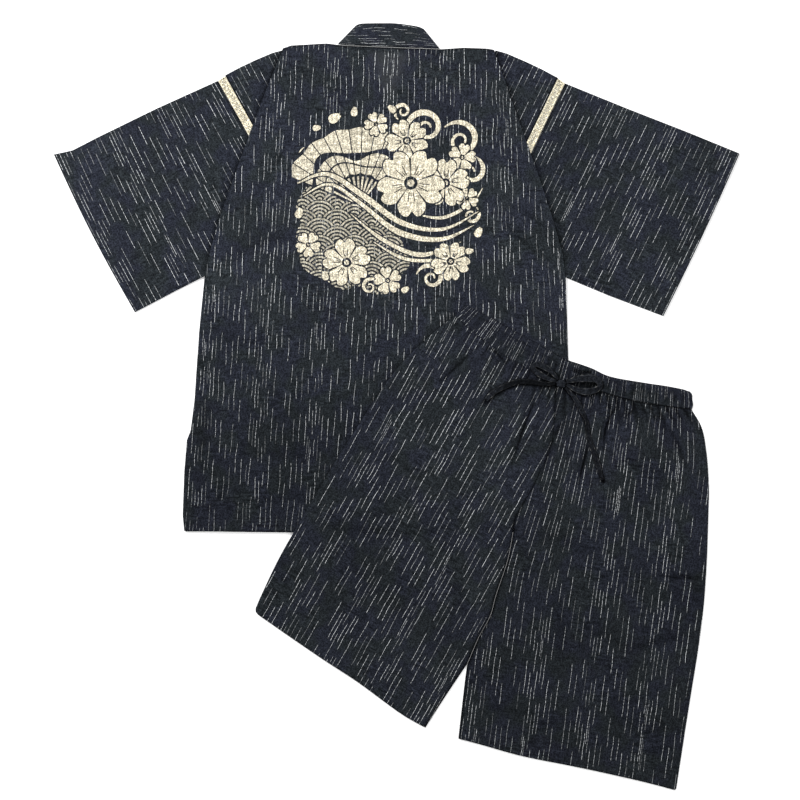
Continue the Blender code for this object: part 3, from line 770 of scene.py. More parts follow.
def buildBackCollar(material):
    shares = edgeShares(60, 0.006)
    top = curvePoints(collarTop, shares)
    seamX = curvePoints([(place, 0) for place in collarSeam], shares)[:, 0]
    start = np.stack([seamX, bodyLevel(seamX - jacket["centreX"], 0) + 1], axis=1)
    slant = (top - start) / np.linalg.norm(top - start, axis=1, keepdims=True)
    end = top - slant * cloth["foldRadius"]
    steps = edgeShares(14, 0.02)
    plan = start[:, None] + (end - start)[:, None] * steps[None, :, None]

    def level(x, y):
        return jacket["collarRest"] * (1 - smooth((y - jacket["shoulderY"]) / jacket["collarWidth"]))

    x, y = plan[..., 0], plan[..., 1]
    inside = smooth(steps / 0.12) * smooth((1 - steps) / 0.15)
    relief = (0.5 + 0.9 * waves(x * 1.6, y * 1.6, 21.5)) * inside[None, :]
    relief -= 0.4 * bell(steps - 0.86, 0.03)[None, :]
    ringX, ringY, ringZ = ringOf(plan, level, relief, closed=False)
    u = 1.45 * lengthsAlong(ringX, ringY, 1)      # its lines lie close, drawn together by the curve
    v = lengthsAlong(ringX, ringY, 0)[:, :1] + 0 * u
    shade = 0.75 * bell(ringY - bodyLevel(ringX - jacket["centreX"], 0) - 1, 1.8)
    return makeCloth("collarBack", ringX, ringY, ringZ, u, v, material, outward=-1, shade=shade)


def sleeveAxes(side):
    tilt = jacket["sleeveTilt"]
    return (np.array((side * math.cos(tilt), -math.sin(tilt))),
            np.array((-side * math.sin(tilt), -math.cos(tilt))))


def ringGrain(ringX, ringY, ringZ):  # distance round each ring, from its first point
    steps = np.sqrt(np.diff(ringX, axis=1) ** 2 + np.diff(ringY, axis=1) ** 2
                    + np.diff(ringZ, axis=1) ** 2)
    return np.insert(np.cumsum(steps, axis=1), 0, 0, axis=1)


def sleevePlan(side, outShares, downShares):
    table = sleeves[side]
    along, down = sleeveAxes(side)
    origin = np.array(table["armhole"], float)
    out = outShares * table["outTop"][-1]
    radius = cloth["foldRadius"]
    topDown = np.interp(out, table["outTop"], table["top"]) + radius
    bottomOut = np.interp(out, table["outTop"], table["outBottom"])
    bottomDown = np.interp(out, table["outTop"], table["bottom"]) - radius
    top = origin + out[:, None] * along + topDown[:, None] * down
    bottom = origin + bottomOut[:, None] * along + bottomDown[:, None] * down
    bulge = along * (jacket["cuffBulge"][side] * outShares ** 2)[:, None]
    return spanRows(top, bottom, downShares) + bulge[:, None] * np.sin(math.pi * downShares[None, :, None])


def underBack(x, y):  # 0 where the back covers the sleeve, 1 well outside it
    return smooth((outsideBack(x, y) - 3) / 24)


def underEdgeShade(x, y):  # beside the back's folded edge, which lies over the sleeves
    away = outsideBack(x, y)
    return 0.8 * bell(np.maximum(away, 0), 5.5, 1.3) * smooth((y - 180) / 60)


def buildSleeve(name, side, material):
    length = sleeves[side]["outTop"][-1]
    outShares = withPlaces(np.linspace(0, 1, 58), 0.8 / length, 1 - 0.8 / length,
                           *hemPlaces(length, jacket["cuffTurn"]))
    downShares = edgeShares(52, 0.01)
    plan = sleevePlan(side, outShares, downShares)
    x, y = plan[..., 0], plan[..., 1]
    cuff = (1 - outShares)[:, None] * length
    relief = np.maximum(cloth["lift"] + waves(x, y, 30.3 + side) + creaseRelief(x, y, sleeveCreases), -0.2)
    inside = smooth(downShares / 0.05) * smooth((1 - downShares) / 0.05)
    relief = relief * inside[None, :] * underBack(x, y) * (0.4 + 0.6 * smooth(cuff / 40))
    relief += turnedHem(cuff, jacket["cuffTurn"], 0.35, 0.35)
    ringX, ringY, ringZ = ringOf(plan, sleeveLevel, relief)
    u = (outShares * length)[:, None] + 0 * ringX
    shade = darkest(creaseShade(ringX, ringY, sleeveCreases), underEdgeShade(ringX, ringY), bell(u, 2.3))
    return makeCloth(name, ringX, ringY, ringZ, u, ringGrain(ringX, ringY, ringZ), material,
                     closed=True, outward=-1, shade=shade)


def lacePlan(side, inward, downShares):
    along, down = sleeveAxes(side)
    table = sleeves[side]
    origin = np.array(table["armhole"], float)
    inward = np.asarray(inward, float)
    radius = cloth["foldRadius"]
    top = origin - inward[:, None] * along + (radius - 2 * inward / jacket["laceWidth"])[:, None] * down
    bottom = (origin + (table["outBottom"][0] - inward)[:, None] * along
              + (table["bottom"][0] - radius) * down)
    return spanRows(top, bottom, downShares)


def buildShoulderFold(name, side, material):
    along, down = sleeveAxes(side)
    table = sleeves[side]
    slant = table["outBottom"][0] / table["bottom"][0]
    radius = cloth["foldRadius"]
    seam = (jacket["laceWidth"] + jacket["seamGap"]) / jacket["foldReach"][side]
    inShares = withPlaces(np.linspace(seam, foldIn[0], 34), foldIn[0] - 0.006, seam + 0.006)
    inward = inShares[::-1]
    top = np.interp(-inward, [-share for share in foldIn], foldTop)
    depth = np.interp(-inward, [-share for share in foldIn], foldDepth)
    start = (np.array(table["armhole"], float) - (inward * jacket["foldReach"][side])[:, None] * along
             + (top + radius)[:, None] * down)
    end = start + (slant * depth * (1 - inward))[:, None] * along + (depth - radius)[:, None] * down
    steps = edgeShares(22, 0.015)
    plan = end[:, None] + (start - end)[:, None] * steps[None, :, None]
    x, y = plan[..., 0], plan[..., 1]
    inside = smooth(steps / 0.1)[None, :] * smooth((1 - steps) / 0.12)[None, :]
    relief = (0.5 + waves(x, y, 40.2 + side)) * inside * underBack(x, y)
    ringX, ringY, ringZ = ringOf(plan, sleeveLevel, relief, closed=False)
    grain = ringGrain(ringX, ringY, ringZ)
    u = (inward * jacket["foldReach"][side])[:, None] + 0 * ringX
    shade = np.maximum(underEdgeShade(ringX, ringY), bell(u - u.min(), 2.3))
    return makeCloth(name, ringX, ringY, ringZ, u, grain - grain[:, 30:31], material, outward=-1,
                     shade=shade)


# Insertion lace round each armhole: firm edges and an openwork middle with real holes.

lace = {"edge": 2.2, "wall": 0.55, "cell": 5.6, "level": 0.25, "shade": 0.03, "underShade": 0.88,
        "overlap": 0.3, "rise": 0.12,
        "colour": (0.78, 0.725, 0.565), "dark": (0.60, 0.53, 0.36)}
laceHoles = (   # centre along and across the openwork, length, width and turn of each leaf hole
    (1.0, 0.2, 2.4, 1.7, 50), (3.7, 0.3, 2.5, 1.7, -40), (1.2, 0.57, 2.5, 1.7, -50),
    (4.05, 0.68, 2.4, 1.7, 45), (2.5, 0.88, 1.7, 1.1, 10),
)


def laceMotif(width):  # one cell of openwork as points (along, across) and faces
    curve = bpy.data.curves.new("laceCell", "CURVE")
    curve.dimensions = "2D"
    curve.fill_mode = "BOTH"

    def addOutline(points):
        spline = curve.splines.new("POLY")
        spline.points.add(len(points) - 1)
        for point, (x, y) in zip(spline.points, points):
            point.co = (x, y, 0, 1)
        spline.use_cyclic_u = True

    edge = np.linspace(0, 1, 7)
    cell = lace["cell"]
    addOutline([(cell * s, 0) for s in edge] + [(cell, width * s) for s in edge[1:]]
               + [(cell * s, width) for s in edge[-2::-1]] + [(0, width * s) for s in edge[-2:0:-1]])
    for along, across, length, wide, turn in laceHoles:
        turn = math.radians(turn)
        outline = []
        for step in range(8):
            angle = 2 * math.pi * step / 8
            a, b = 0.5 * length * math.cos(angle), 0.5 * wide * math.sin(angle)
            outline.append((along + a * math.cos(turn) - b * math.sin(turn),
                            across * width + a * math.sin(turn) + b * math.cos(turn)))
        addOutline(outline)
    mesh = bpy.data.meshes.new_from_object(bpy.data.objects.new("laceCell", curve))
    points = np.array([vertex.co[:2] for vertex in mesh.vertices])
    faces = [tuple(polygon.vertices) for polygon in mesh.polygons]
    bpy.data.meshes.remove(mesh)
    bpy.data.curves.remove(curve)
    return points, faces


def buildLace(name, side, material):
    width = jacket["laceWidth"] - jacket["seamGap"]
    lines = np.linspace(jacket["laceWidth"], jacket["seamGap"], 14)
    downShares = edgeShares(60, 0.012)
    plan = lacePlan(side, lines, downShares)
    x, y = plan[..., 0], plan[..., 1]
    relief = 0.3 * waves(x, y, 51.0) * underBack(x, y) - lace["level"]
    ringX, ringY, ringZ = ringOf(plan, sleeveLevel, relief)
    rings = np.stack([ringX, ringY, ringZ], axis=-1)
    rings = np.concatenate([rings, rings[:, :1]], axis=1)
    middle = rings[len(lines) // 2]
    lengths = np.concatenate([[0], np.cumsum(np.linalg.norm(np.diff(middle, axis=0), axis=1))])

    def onRing(along, inward):  # place at a distance round the ring and a share across it
        at = np.interp(along % lengths[-1], lengths, np.arange(len(lengths)))
        low = np.minimum(at.astype(int), len(lengths) - 2)
        share = (at - low)[:, None]
        row = np.clip(inward, 0, 1) * (len(lines) - 1)
        rowLow = np.minimum(row.astype(int), len(lines) - 2)
        rowShare = (row - rowLow)[:, None]
        first = rings[rowLow, low] * (1 - share) + rings[rowLow, low + 1] * share
        second = rings[rowLow + 1, low] * (1 - share) + rings[rowLow + 1, low + 1] * share
        return first * (1 - rowShare) + second * rowShare

    openWidth = width - 2 * lace["edge"]
    points, faces = laceMotif(openWidth)
    count = round(lengths[-1] / lace["cell"])
    stretch = lengths[-1] / (count * lace["cell"])
    vertices, polygons, grain = [], [], []

    def addPart(along, across, partFaces):
        offset = sum(len(part) for part in vertices)
        vertices.append(onRing(along, across / width))
        grain.append(np.stack([along, across], axis=1))
        polygons.extend(tuple(offset + n for n in face) for face in partFaces)

    # A cell that goes round a folded end is closed and fine, so the end stays round.
    folded = plan.shape[1]
    turnSteps = cloth["foldSteps"] - 1
    bends = ((lengths[folded - 1], lengths[folded + turnSteps]),
             (lengths[2 * folded + turnSteps - 1], lengths[-1]))

    def addGrid(alongs, acrosses):
        addPart(np.repeat(alongs, len(acrosses)), np.tile(acrosses, len(alongs)),
                gridFaces(np.arange(len(alongs) * len(acrosses)).reshape(len(alongs), -1)).tolist())

    for cell in range(count):
        start = cell * lace["cell"] * stretch
        if any(start < high and start + lace["cell"] * stretch > low for low, high in bends):
            addGrid(start + np.linspace(0, lace["cell"], 25) * stretch,
                    lace["edge"] + np.linspace(0, openWidth, 7))
        else:
            addPart(start + points[:, 0] * stretch, lace["edge"] + points[:, 1], faces)
    overlap = lace["edge"] + lace["overlap"]        # the firm edges lie over the openwork
    for low, high in ((0, overlap), (width - overlap, width)):
        addGrid(np.linspace(0, lengths[-1], 421), np.linspace(low, high, 3))
        vertices[-1][:, 2] += lace["rise"]
    item = makeMesh(name, np.concatenate(vertices), polygons, material, np.concatenate(grain))
    mesh = item.data
    turnOutward(mesh, merged=0.02)
    place = np.zeros(2 * len(mesh.loops), np.float32)
    mesh.uv_layers["grain"].data.foreach_get("uv", place)
    across = np.zeros(len(mesh.vertices))
    across[cornersOf(mesh)] = place[1::2] / mm
    inside = np.minimum(across - lace["edge"], width - lace["edge"] - across)
    place = np.zeros(3 * len(mesh.vertices), np.float32)
    mesh.vertices.foreach_get("co", place)
    place = place.reshape(-1, 3) / mm
    under = place[:, 2] - sleeveLevel(place[:, 0], place[:, 1]) < 0.5 * cloth["layer"] - lace["level"]
    mark(item, "shade", np.where(under, lace["underShade"], lace["shade"] * (inside > 0.05)))
    addWall(item, lace["wall"], -1)
    return item


# The shorts


def legPlan(leg, columns):
    part = shorts["sharedPart"]
    shared = np.linspace(0, 1, 165) ** 1.25
    lower = withPlaces(np.linspace(0, 1, 40), *hemPlaces(shorts["lowerLeg"], shorts["hemTurn"]), 0.992)[1:]
    outer = curvePoints(leg["outseam"], np.concatenate([shared * part, part + lower * (1 - part)]))
    inner = np.concatenate([curvePoints(crotchSeam, shared), curvePoints(leg["inseam"], lower)])
    inner[:, 0] -= leg["side"] * jacket["seamGap"]
    top = curvePoints(leg["waist"], columns) - (0, 2 * jacket["seamGap"])
    bottom = curvePoints(leg["hem"], columns)
    left, right = (outer, inner) if leg["side"] > 0 else (inner, outer)
    left[0] = top[0] = (left[0][0], top[0][1])
    right[0] = top[-1] = (right[0][0], top[-1][1])
    left[-1] = bottom[0] = (left[-1][0], bottom[0][1])
    right[-1] = bottom[-1] = (right[-1][0], bottom[-1][1])
    plan = patch(top, bottom, left, right, columns)
    return roundedCorner(plan if leg["side"] > 0 else plan[:, ::-1], leg["corner"])[:, ::leg["side"]]


def roundedCorner(plan, radius):  # takes off the corner where the last row meets the first column
    fromSide = np.linalg.norm(plan - plan[:, :1], axis=-1)
    fromHem = np.linalg.norm(plan - plan[-1:], axis=-1)
    p, q = np.clip(1 - fromSide / radius, 0, 1), np.clip(1 - fromHem / radius, 0, 1)
    inward = plan[-1, 8] - plan[-1, 0]
    upward = plan[-8, 0] - plan[-1, 0]
    moveIn = radius * p * (1 - np.sqrt(1 - 0.5 * q ** 2))
    moveUp = radius * q * (1 - np.sqrt(1 - 0.5 * p ** 2))
    return (plan + moveIn[..., None] * inward / np.linalg.norm(inward)
            + moveUp[..., None] * upward / np.linalg.norm(upward))


def frontTop(x, y):  # upper side of the shorts' front without its gathers
    return shortsLevel(x, y) + cloth["layer"] + shortsRelief(x, y) + cloth["wall"]


def legGrain(leg, x, y):  # straight grain down the leg, leaning where the gathers pull it
    turn = math.radians(leg["grain"])
    u, v = x * math.cos(turn) - y * math.sin(turn), x * math.sin(turn) + y * math.cos(turn)
    moved = 0
    for slope, low, high, start, end in leg["leans"]:
        t = np.clip((v - low) / (high - low), 0, None)
        rise = (high - low) * np.where(t < 1, t ** 3 - 0.5 * t ** 4, t - 0.5)
        moved = moved + slope * rise * smooth((u - start) / (end - start))
    return u - moved, v


def buildLeg(name, leg, material):
    columns = edgeShares(152, 0.004)
    plan = legPlan(leg, columns)
    x, y = plan[..., 0], plan[..., 1]
    below = lengthsAlong(x, y, 0)
    column = leg["first"] + 2 * shorts["gathers"] * columns
    reach = shorts["gatherFade"] * (0.75 + 0.9 * softNoise(column, 0.7, 2.3, 14.0))
    z = shortsLevel(x, y) + cloth["layer"] + shortsRelief(x, y)
    z += gatherWave(column)[None, :] * (1 - smooth(below / reach[None, :]))
    side = lengthsAlong(x, y, 1)
    fromLeft, fromRight = side, side[:, -1:] - side
    outseam, crotch = (fromLeft, fromRight) if leg["side"] > 0 else (fromRight, fromLeft)
    z -= 1.1 * (1 - smooth(outseam / 3.5))                 # the outseam turns down to the back
    z -= 0.75 * bell(crotch, 3.0)               # the centre and inside seams sink
    z += 0.35 * bell(crotch - 7, 3.5)
    z -= 0.5 * bell(below, 2.0)
    hem = below[-1:, :] - below
    z += turnedHem(hem, shorts["hemTurn"], 0.3, 0.4)
    u, v = legGrain(leg, x, y)
    valley = 1 - gatherWave(column) / shorts["gatherRise"]
    valleyShade = 0.3 + 0.5 * smooth((column - 14) / 8)        # painted shade in the gathers' valleys, stronger near the bow
    # painted shade along the waist seam, stronger towards the bow
    sewn = 0.25 + 0.5 * smooth((column - 22) / 10)
    low = smooth((-140 - y) / 50)
    shade = darkest(creaseShade(x, y, shortsCreases), tieShade(x, y),
                    (valleyShade * valley ** 2)[None, :] * (1 - smooth(below / reach[None, :])),
                    sewn * bell(below, 2.2), (0.45 + 0.33 * low) * bell(crotch, 2.2 + 1.2 * low))
    shade += 0.13 * smooth((below - 150) / 200) + (0.1 if leg["side"] < 0 else 0)
    shade += 0.4 * bell(hem, 1.6)
    front = makeCloth(name, x, y, z, u, v, material, shade=shade)
    back = plan[::3, ::4].copy()
    back[:, 0] += 0.35 * (back[:, 1] - back[:, 0])
    back[:, -1] += 0.35 * (back[:, -2] - back[:, -1])
    bx, by = back[..., 0], back[..., 1]
    behind = makeCloth(name.replace("Front", "Back"), bx, by, shortsLevel(bx, by),
                       *legGrain(leg, bx, by), material)
    return front, behind


def waistPlan(columns, steps):
    low = np.concatenate([curvePoints(waistRight, columns), curvePoints(waistLeft, columns)[1:]])
    high = np.concatenate([curvePoints(waistTopRight, columns), curvePoints(waistTopLeft, columns)[1:]])
    plan = high[None] * (1 - steps[:, None, None]) + low[None] * steps[:, None, None]
    nearEnd = 1 - smooth(np.linalg.norm(plan - plan[:, -1:], axis=-1) / 14)
    corner = np.clip(1 - steps / 0.36, 0, 1)[:, None]
    along = math.pi * np.clip(steps, 0, 1)[:, None]
    plan[..., 0] += nearEnd * (1.7 * np.sin(along) + 0.7 * np.sin(3 * along + 0.6) - 3.0 * corner ** 2)
    plan[..., 1] -= nearEnd * 0.8 * corner ** 2
    return plan


def buildWaistband(material):
    columns = np.linspace(0, 1, 181)
    steps = np.concatenate([edgeShares(17, 0.03), [1.02, 1.045]])   # the last rows tuck under the legs
    plan = waistPlan(columns, steps)
    x, y = plan[..., 0], plan[..., 1]
    onLeg = 2 * shorts["gathers"]
    column = np.concatenate([onLeg * columns, onLeg + onLeg * columns[1:]])
    seam = (1 - steps)[:, None]
    ripple = gatherWave(column)[None, :] * (0.55 + 0.45 * np.sin(math.pi * np.clip(seam, 0, 1)))
    relief = ripple + 0.5 * waves(x * 1.5, y * 1.5, 61.0) + 0.5
    relief -= 1.0 * (1 - smooth(steps / 0.10))[:, None]           # the upper edge is a soft fold
    relief -= 0.7 * (1 - smooth(seam / 0.10)) + 1.5 * smooth(-seam / 0.02)
    relief -= 0.45 * bell(seam - shorts["bandRow"], 0.05)         # stitches above the elastic
    relief += creaseRelief(x, y, ((((282, 56), (292, 50), (299, 54)), 1.2, 3.0),
                                  (((126, 124), (134, 112), (130, 104)), 1.0, 4.5)))
    ends = smooth(column / 1.2) * smooth((2 * onLeg - column) / 1.2)
    relief = np.maximum(relief, -0.9 - 1.3 * smooth(-seam / 0.02)) * ends[None, :]
    ringX, ringY, ringZ = ringOf(plan, shortsLevel, relief)
    hemWidths = runLength(legs["right"]["hem"]), runLength(legs["left"]["hem"])
    u = np.concatenate([columns * hemWidths[0], hemWidths[0] + columns[1:] * hemWidths[1]])
    far = u[-1] + np.linspace(0, 6, cloth["foldSteps"])[1:]
    under = far[-1] + (u[-1] - u[::-1])
    near = under[-1] + np.linspace(0, 6, cloth["foldSteps"])[1:]
    u = np.concatenate([u, far, under, near])[None, :] + 0 * ringX
    v = lengthsAlong(ringX, ringY, 0)
    valley = (1 - gatherWave(column) / shorts["gatherRise"])[None, :] ** 2
    # painted shade in the gathers' valleys, stronger near the bow
    valleyShade = 0.2 + 0.4 * smooth((column - 18) / 12)
    shade = valleyShade * valley * np.sin(math.pi * np.clip(steps, 0.1, 0.9))[:, None]
    rumple = distanceToLine(x, y, ((277, 57), (289, 53), (301, 54)))[0]
    # painted shade along the waist seam, stronger towards the bow
    sewn = 0.3 + 0.6 * smooth((column - 22) / 10)
    shade = darkest(shade, 0.95 * bell(rumple, 3.6, 4), 0.5 * bell(seam - shorts["bandRow"], 0.035),
                    sewn * bell(seam, 0.05), tieShade(x, y), 0.5 * bell(steps, 0.06)[:, None])
    ringShade = np.zeros(ringX.shape)
    ringShade[:, :shade.shape[1]] = shade
    return makeCloth("waistbandCasing", ringX, ringY, ringZ, u, v[-1:, :] - v, material,
                     closed=True, outward=-1, shade=ringShade)


# The back print: cream ink lying on the cloth as a thin film, drawn from fields that are
# negative where there is ink. Places are across and up from the middle of the print.

artwork = {
    "middle": (-12.0, 323.0), "reach": 152.0, "cell": 1.05, "rise": 0.95, "gap": 2.0,
    "ink": (0.70, 0.64, 0.50), "wornInk": (0.65, 0.59, 0.45), "thinInk": (0.34, 0.32, 0.26),
}
waveRows = {"size": 27.0, "rings": 5.4, "line": 3.1}
wavePlaces = ((-70, -62, 74), (-22, -92, 52), (-104, -14, 40))      # across, up and size of each patch
openFan = {"pivot": (-46, -8), "inner": 47, "outer": 118, "from": 48, "to": 158, "folds": 11}
currents = (    # route and widths of each line of running water
    (((-142, 26), (-96, 40), (-40, 6), (20, -36), (84, -46), (140, -18)), (2, 7, 9, 8, 5, 1)),
    (((-134, 6), (-92, 24), (-44, -6), (14, -50), (80, -62), (132, -40)), (1, 5, 6, 9, 7, 1)),
    (((-60, -22), (-10, -62), (50, -86), (112, -66)), (1, 6, 7, 1)),
    (((-24, -66), (24, -92), (76, -94), (106, -84)), (1, 5, 5, 1)),
    (((40, -22), (84, -28), (128, -6), (146, 18)), (1, 5, 5, 1)),
)
scrolls = (     # middle, first and last radius, first angle and turn of each curl, its full width
    (58, 112, 34, 7, 215, -560, 9.5), (112, 92, 33, 7, 140, -520, 9), (128, 44, 24, 5, 75, -430, 7.5),
    (66, -122, 24, 5, 165, -520, 8), (22, 138, 15, 4, 240, -470, 6), (-128, 66, 22, 5, -60, 500, 7.5),
    (128, -24, 15, 4, 60, -450, 5.5), (-30, -136, 15, 4, 20, 460, 5.5),
)
flowers = (     # across, up, size and turn of each blossom, the front one last
    (114, 66, 22, 40), (-126, -70, 20, 20), (-2, -126, 22, 65), (-20, 118, 19, 5), (122, 2, 18, 10),
    (28, 92, 34, 8), (88, 26, 38, 50), (96, -96, 31, 22), (-66, -98, 38, 60), (34, 26, 54, 20),
)
petals = ((-84, 128, 11, 30), (-54, 138, 8, 80), (4, 142, 8, 140), (140, -50, 9, 60), (126, -80, 7, 10),
          (-100, -118, 8, 110), (-140, -20, 9, 70), (26, -140, 7, 30), (-112, 112, 7, 10))


def lineField(x, y, route, widths):
    away, share = distanceToLine(x, y, curvePoints(route, np.linspace(0, 1, 48)))
    return away - 0.5 * np.interp(share, np.linspace(0, 1, len(widths)), widths)


def blossomFields(x, y, across, up, size, turn):  # whole outline, then the ink with its cuts
    far = np.hypot(x - across, y - up)
    fifth = math.pi / 5
    angle = (np.arctan2(y - up, x - across) - math.radians(turn)) % (2 * fifth) - fifth
    off = np.abs(angle) / fifth
    tip = size * (1 - 0.34 * off ** 3 - 0.17 * bell(off, 0.16))
    outline = 0.85 * (far - tip)
    between = far * np.sin(fifth - np.abs(angle)) - np.interp(far / size, (0, 0.3, 0.7), (0.3, 0.6, 1.6))
    ring = np.abs(far - 0.15 * size) - 0.045 * size
    ray = np.abs(far * np.sin(np.abs(angle) - 0.3 * fifth)) - 0.7
    ray = np.maximum(ray, np.maximum(0.26 * size - far, far - 0.56 * size))
    vein = np.maximum(np.abs(far * np.sin(angle)) - 0.6, np.maximum(0.24 * size - far, far - 0.42 * size))
    cut = np.minimum(np.minimum(ring, between), np.minimum(ray, vein) if size > 24 else 9)
    return outline, np.maximum(outline, -cut)


def wavesField(x, y):  # overlapping scales of rings, the lower rows in front
    size = waveRows["size"]
    field = np.full(x.shape, 9.0)
    for row in range(9, -13, -1):
        shift = (row % 2) * size
        centre = np.round((x - shift) / (2 * size)) * 2 * size + shift
        far = np.hypot(x - centre, y - row * 0.5 * size)
        rings = np.abs((size - 1.2 - far) % waveRows["rings"] - 0.5 * waveRows["line"])
        rings -= 0.5 * waveRows["line"]
        field = np.where(far < size, np.maximum(rings, far - size + 1.0), field)
    patch = np.full(x.shape, 99.0)
    for across, up, reach in wavePlaces:
        patch = np.minimum(patch, np.hypot(x - across, y - up) - reach)
    return np.maximum(field, patch + 2.5 * np.sin(x / 9) + 2 * np.sin(y / 7)), patch


def fanFields(x, y):
    a, b = x - openFan["pivot"][0], y - openFan["pivot"][1]
    far, turn = np.hypot(a, b), np.degrees(np.arctan2(b, a))
    low, high = openFan["from"], openFan["to"]
    fold = (high - low) / openFan["folds"]
    along = (turn - low) / fold
    saw = np.abs(along % 2 - 1)
    side = np.maximum(low - turn, turn - high) * math.pi / 180 * far
    paper = np.maximum(np.maximum(openFan["inner"] + 3 * saw - far, far - openFan["outer"] - 4 * saw), side)
    crease = np.abs((along + 0.5) % 1 - 0.5) * fold * math.pi / 180 * far
    band = np.abs(far - 84 - 9 * np.sin(along * 0.9 + 0.6)) - 4.5 * (1 + 0.4 * np.sin(along * 1.7))
    band = np.minimum(band, np.abs(far - 66 - 6 * np.sin(along * 0.8 + 2)) - 1.2)
    sheet = np.maximum(np.maximum(paper, 0.8 - crease), -band)
    rib = np.abs(along % 1 - 0.5) * fold * math.pi / 180 * far - np.interp(far, (0, 47), (0.8, 1.7))
    ribs = np.maximum(np.maximum(rib, side), np.maximum(far - openFan["inner"] + 2.5, -far - 5))
    outline = np.maximum(side, far - openFan["outer"] - 4)
    return outline, np.minimum(np.minimum(sheet, ribs), far - 4.5)


def printField(x, y):  # ink of every motif, each cut clear of those in front of it
    field, tone = wavesField(x, y)
    tone = np.where(tone < 6, 0.75, 0.0)

    def lay(field, outline, ink):
        return np.minimum(np.maximum(field, artwork["gap"] - outline), ink)

    for across, up, first, last, start, sweep, width in scrolls:
        share = np.linspace(0, 1, 34)
        reach = first * (last / first) ** share
        angle = np.radians(start + sweep * share)
        route = np.stack([across + reach * np.cos(angle), up + reach * np.sin(angle)], axis=1)
        line = lineField(x, y, route, np.array((0.2, 0.8, 1, 0.85, 0.65, 0.5, 0.35)) * width)
        field = lay(field, line, line)
        tone = np.where(line < 1, 0.0, tone)
    outline, ink = fanFields(x, y)
    field = lay(field, outline, ink)
    tone = np.where(outline < 0, 0.25, tone)
    for route, widths in currents:
        line = lineField(x, y, route, widths)
        field = lay(field, line, line)
        tone = np.where(line < 1, 0.0, tone)
    for flower in flowers:
        outline, ink = blossomFields(x, y, *flower)
        field = lay(field, outline, ink)
        tone = np.where(outline < 0, 0.0, tone)
    for across, up, size, turn in petals:
        a, b = x - across, y - up
        c, s = math.cos(math.radians(turn)), math.sin(math.radians(turn))
        along, aside = a * c + b * s, b * c - a * s
        shape = np.hypot(along, aside / (0.62 - 0.25 * along / size)) - size
        shape = np.maximum(shape, 0.3 * size - np.hypot(along - 1.05 * size, aside * 1.4))
        field = lay(field, shape, shape)
        tone = np.where(shape < 1, 0.0, tone)
    return field, tone


def buildPrint(material):  # the inked part of each cell of a fine grid, laid on the back
    line = np.linspace(-1, 1, round(2 * artwork["reach"] / artwork["cell"]) + 1) * artwork["reach"]
    count, size = len(line), len(line) ** 2
    x, y = np.meshgrid(line, line)
    field, tone = printField(x, y)
    field = np.where(np.abs(field) < 0.03, 0.03, field)
    field[[0, -1]] = field[:, [0, -1]] = 9
    inked = field < 0
    level = np.divide(field[:, :-1], field[:, :-1] - field[:, 1:])
    level = np.pad(np.clip(level, 0, 1), ((0, 0), (0, 1))) * (line[1] - line[0])
    upright = np.divide(field[:-1], field[:-1] - field[1:])
    upright = np.pad(np.clip(upright, 0, 1), ((0, 1), (0, 0))) * (line[1] - line[0])
    places = np.stack([np.concatenate([x, x + level, x]), np.concatenate([y, y, y + upright])], axis=-1)
    places = places.reshape(-1, 2)
    corners = ((0, 0), (0, 1), (1, 1), (1, 0))
    some = inked[:-1, :-1] | inked[:-1, 1:] | inked[1:, 1:] | inked[1:, :-1]
    lit = inked.tolist()
    faces = []
    for row, column in np.argwhere(some).tolist():
        face = []
        for k in range(4):
            a = row + corners[k][0], column + corners[k][1]
            b = row + corners[(k + 1) % 4][0], column + corners[(k + 1) % 4][1]
            if lit[a[0]][a[1]]:
                face.append(a[0] * count + a[1])
            if lit[a[0]][a[1]] != lit[b[0]][b[1]]:
                low = min(a, b)
                face.append((size if a[0] == b[0] else 2 * size) + low[0] * count + low[1])
        faces.append(face)
    used = np.unique(np.concatenate(faces))
    renamed = np.zeros(3 * size, int)
    renamed[used] = np.arange(len(used))
    renamed = renamed.tolist()
    faces = [[renamed[n] for n in face] for face in faces]
    px, py = (places[used] + artwork["middle"]).T
    vertices = np.stack([px, py, backUnder(px, py) + artwork["rise"]], axis=-1)
    grain = np.stack([px - jacket["centreX"], py], axis=-1)
    piece = makeMesh("backPrint", vertices, faces, material, grain)
    mark(piece, "edge", np.tile(tone.ravel(), 3)[used])
    return piece


# Rows of stitches, laid along the turned hems and the seams. Each row is a line of edges that
# Geometry Nodes turns into thread.

stitching = {"pitch": 3.0, "length": 2.5, "thickness": 0.42, "seed": 7, "inset": 2.6,
             "probe": 2.5, "rise": 0.05, "colour": (0.030, 0.034, 0.045), "dark": (0.022, 0.025, 0.034)}
eyeletPlace, eyeletReach, eyeletRise = (289.5, 55.0), (7.5, -2.6), (1.2, 2.4)


def threadInputs(material=None):
    sizes = [(key.title(), "Float", stitching[key] * mm) for key in ("pitch", "length", "thickness")]
    return [*sizes, ("Seed", "Int", stitching["seed"]), ("Thread", "Material", material)]


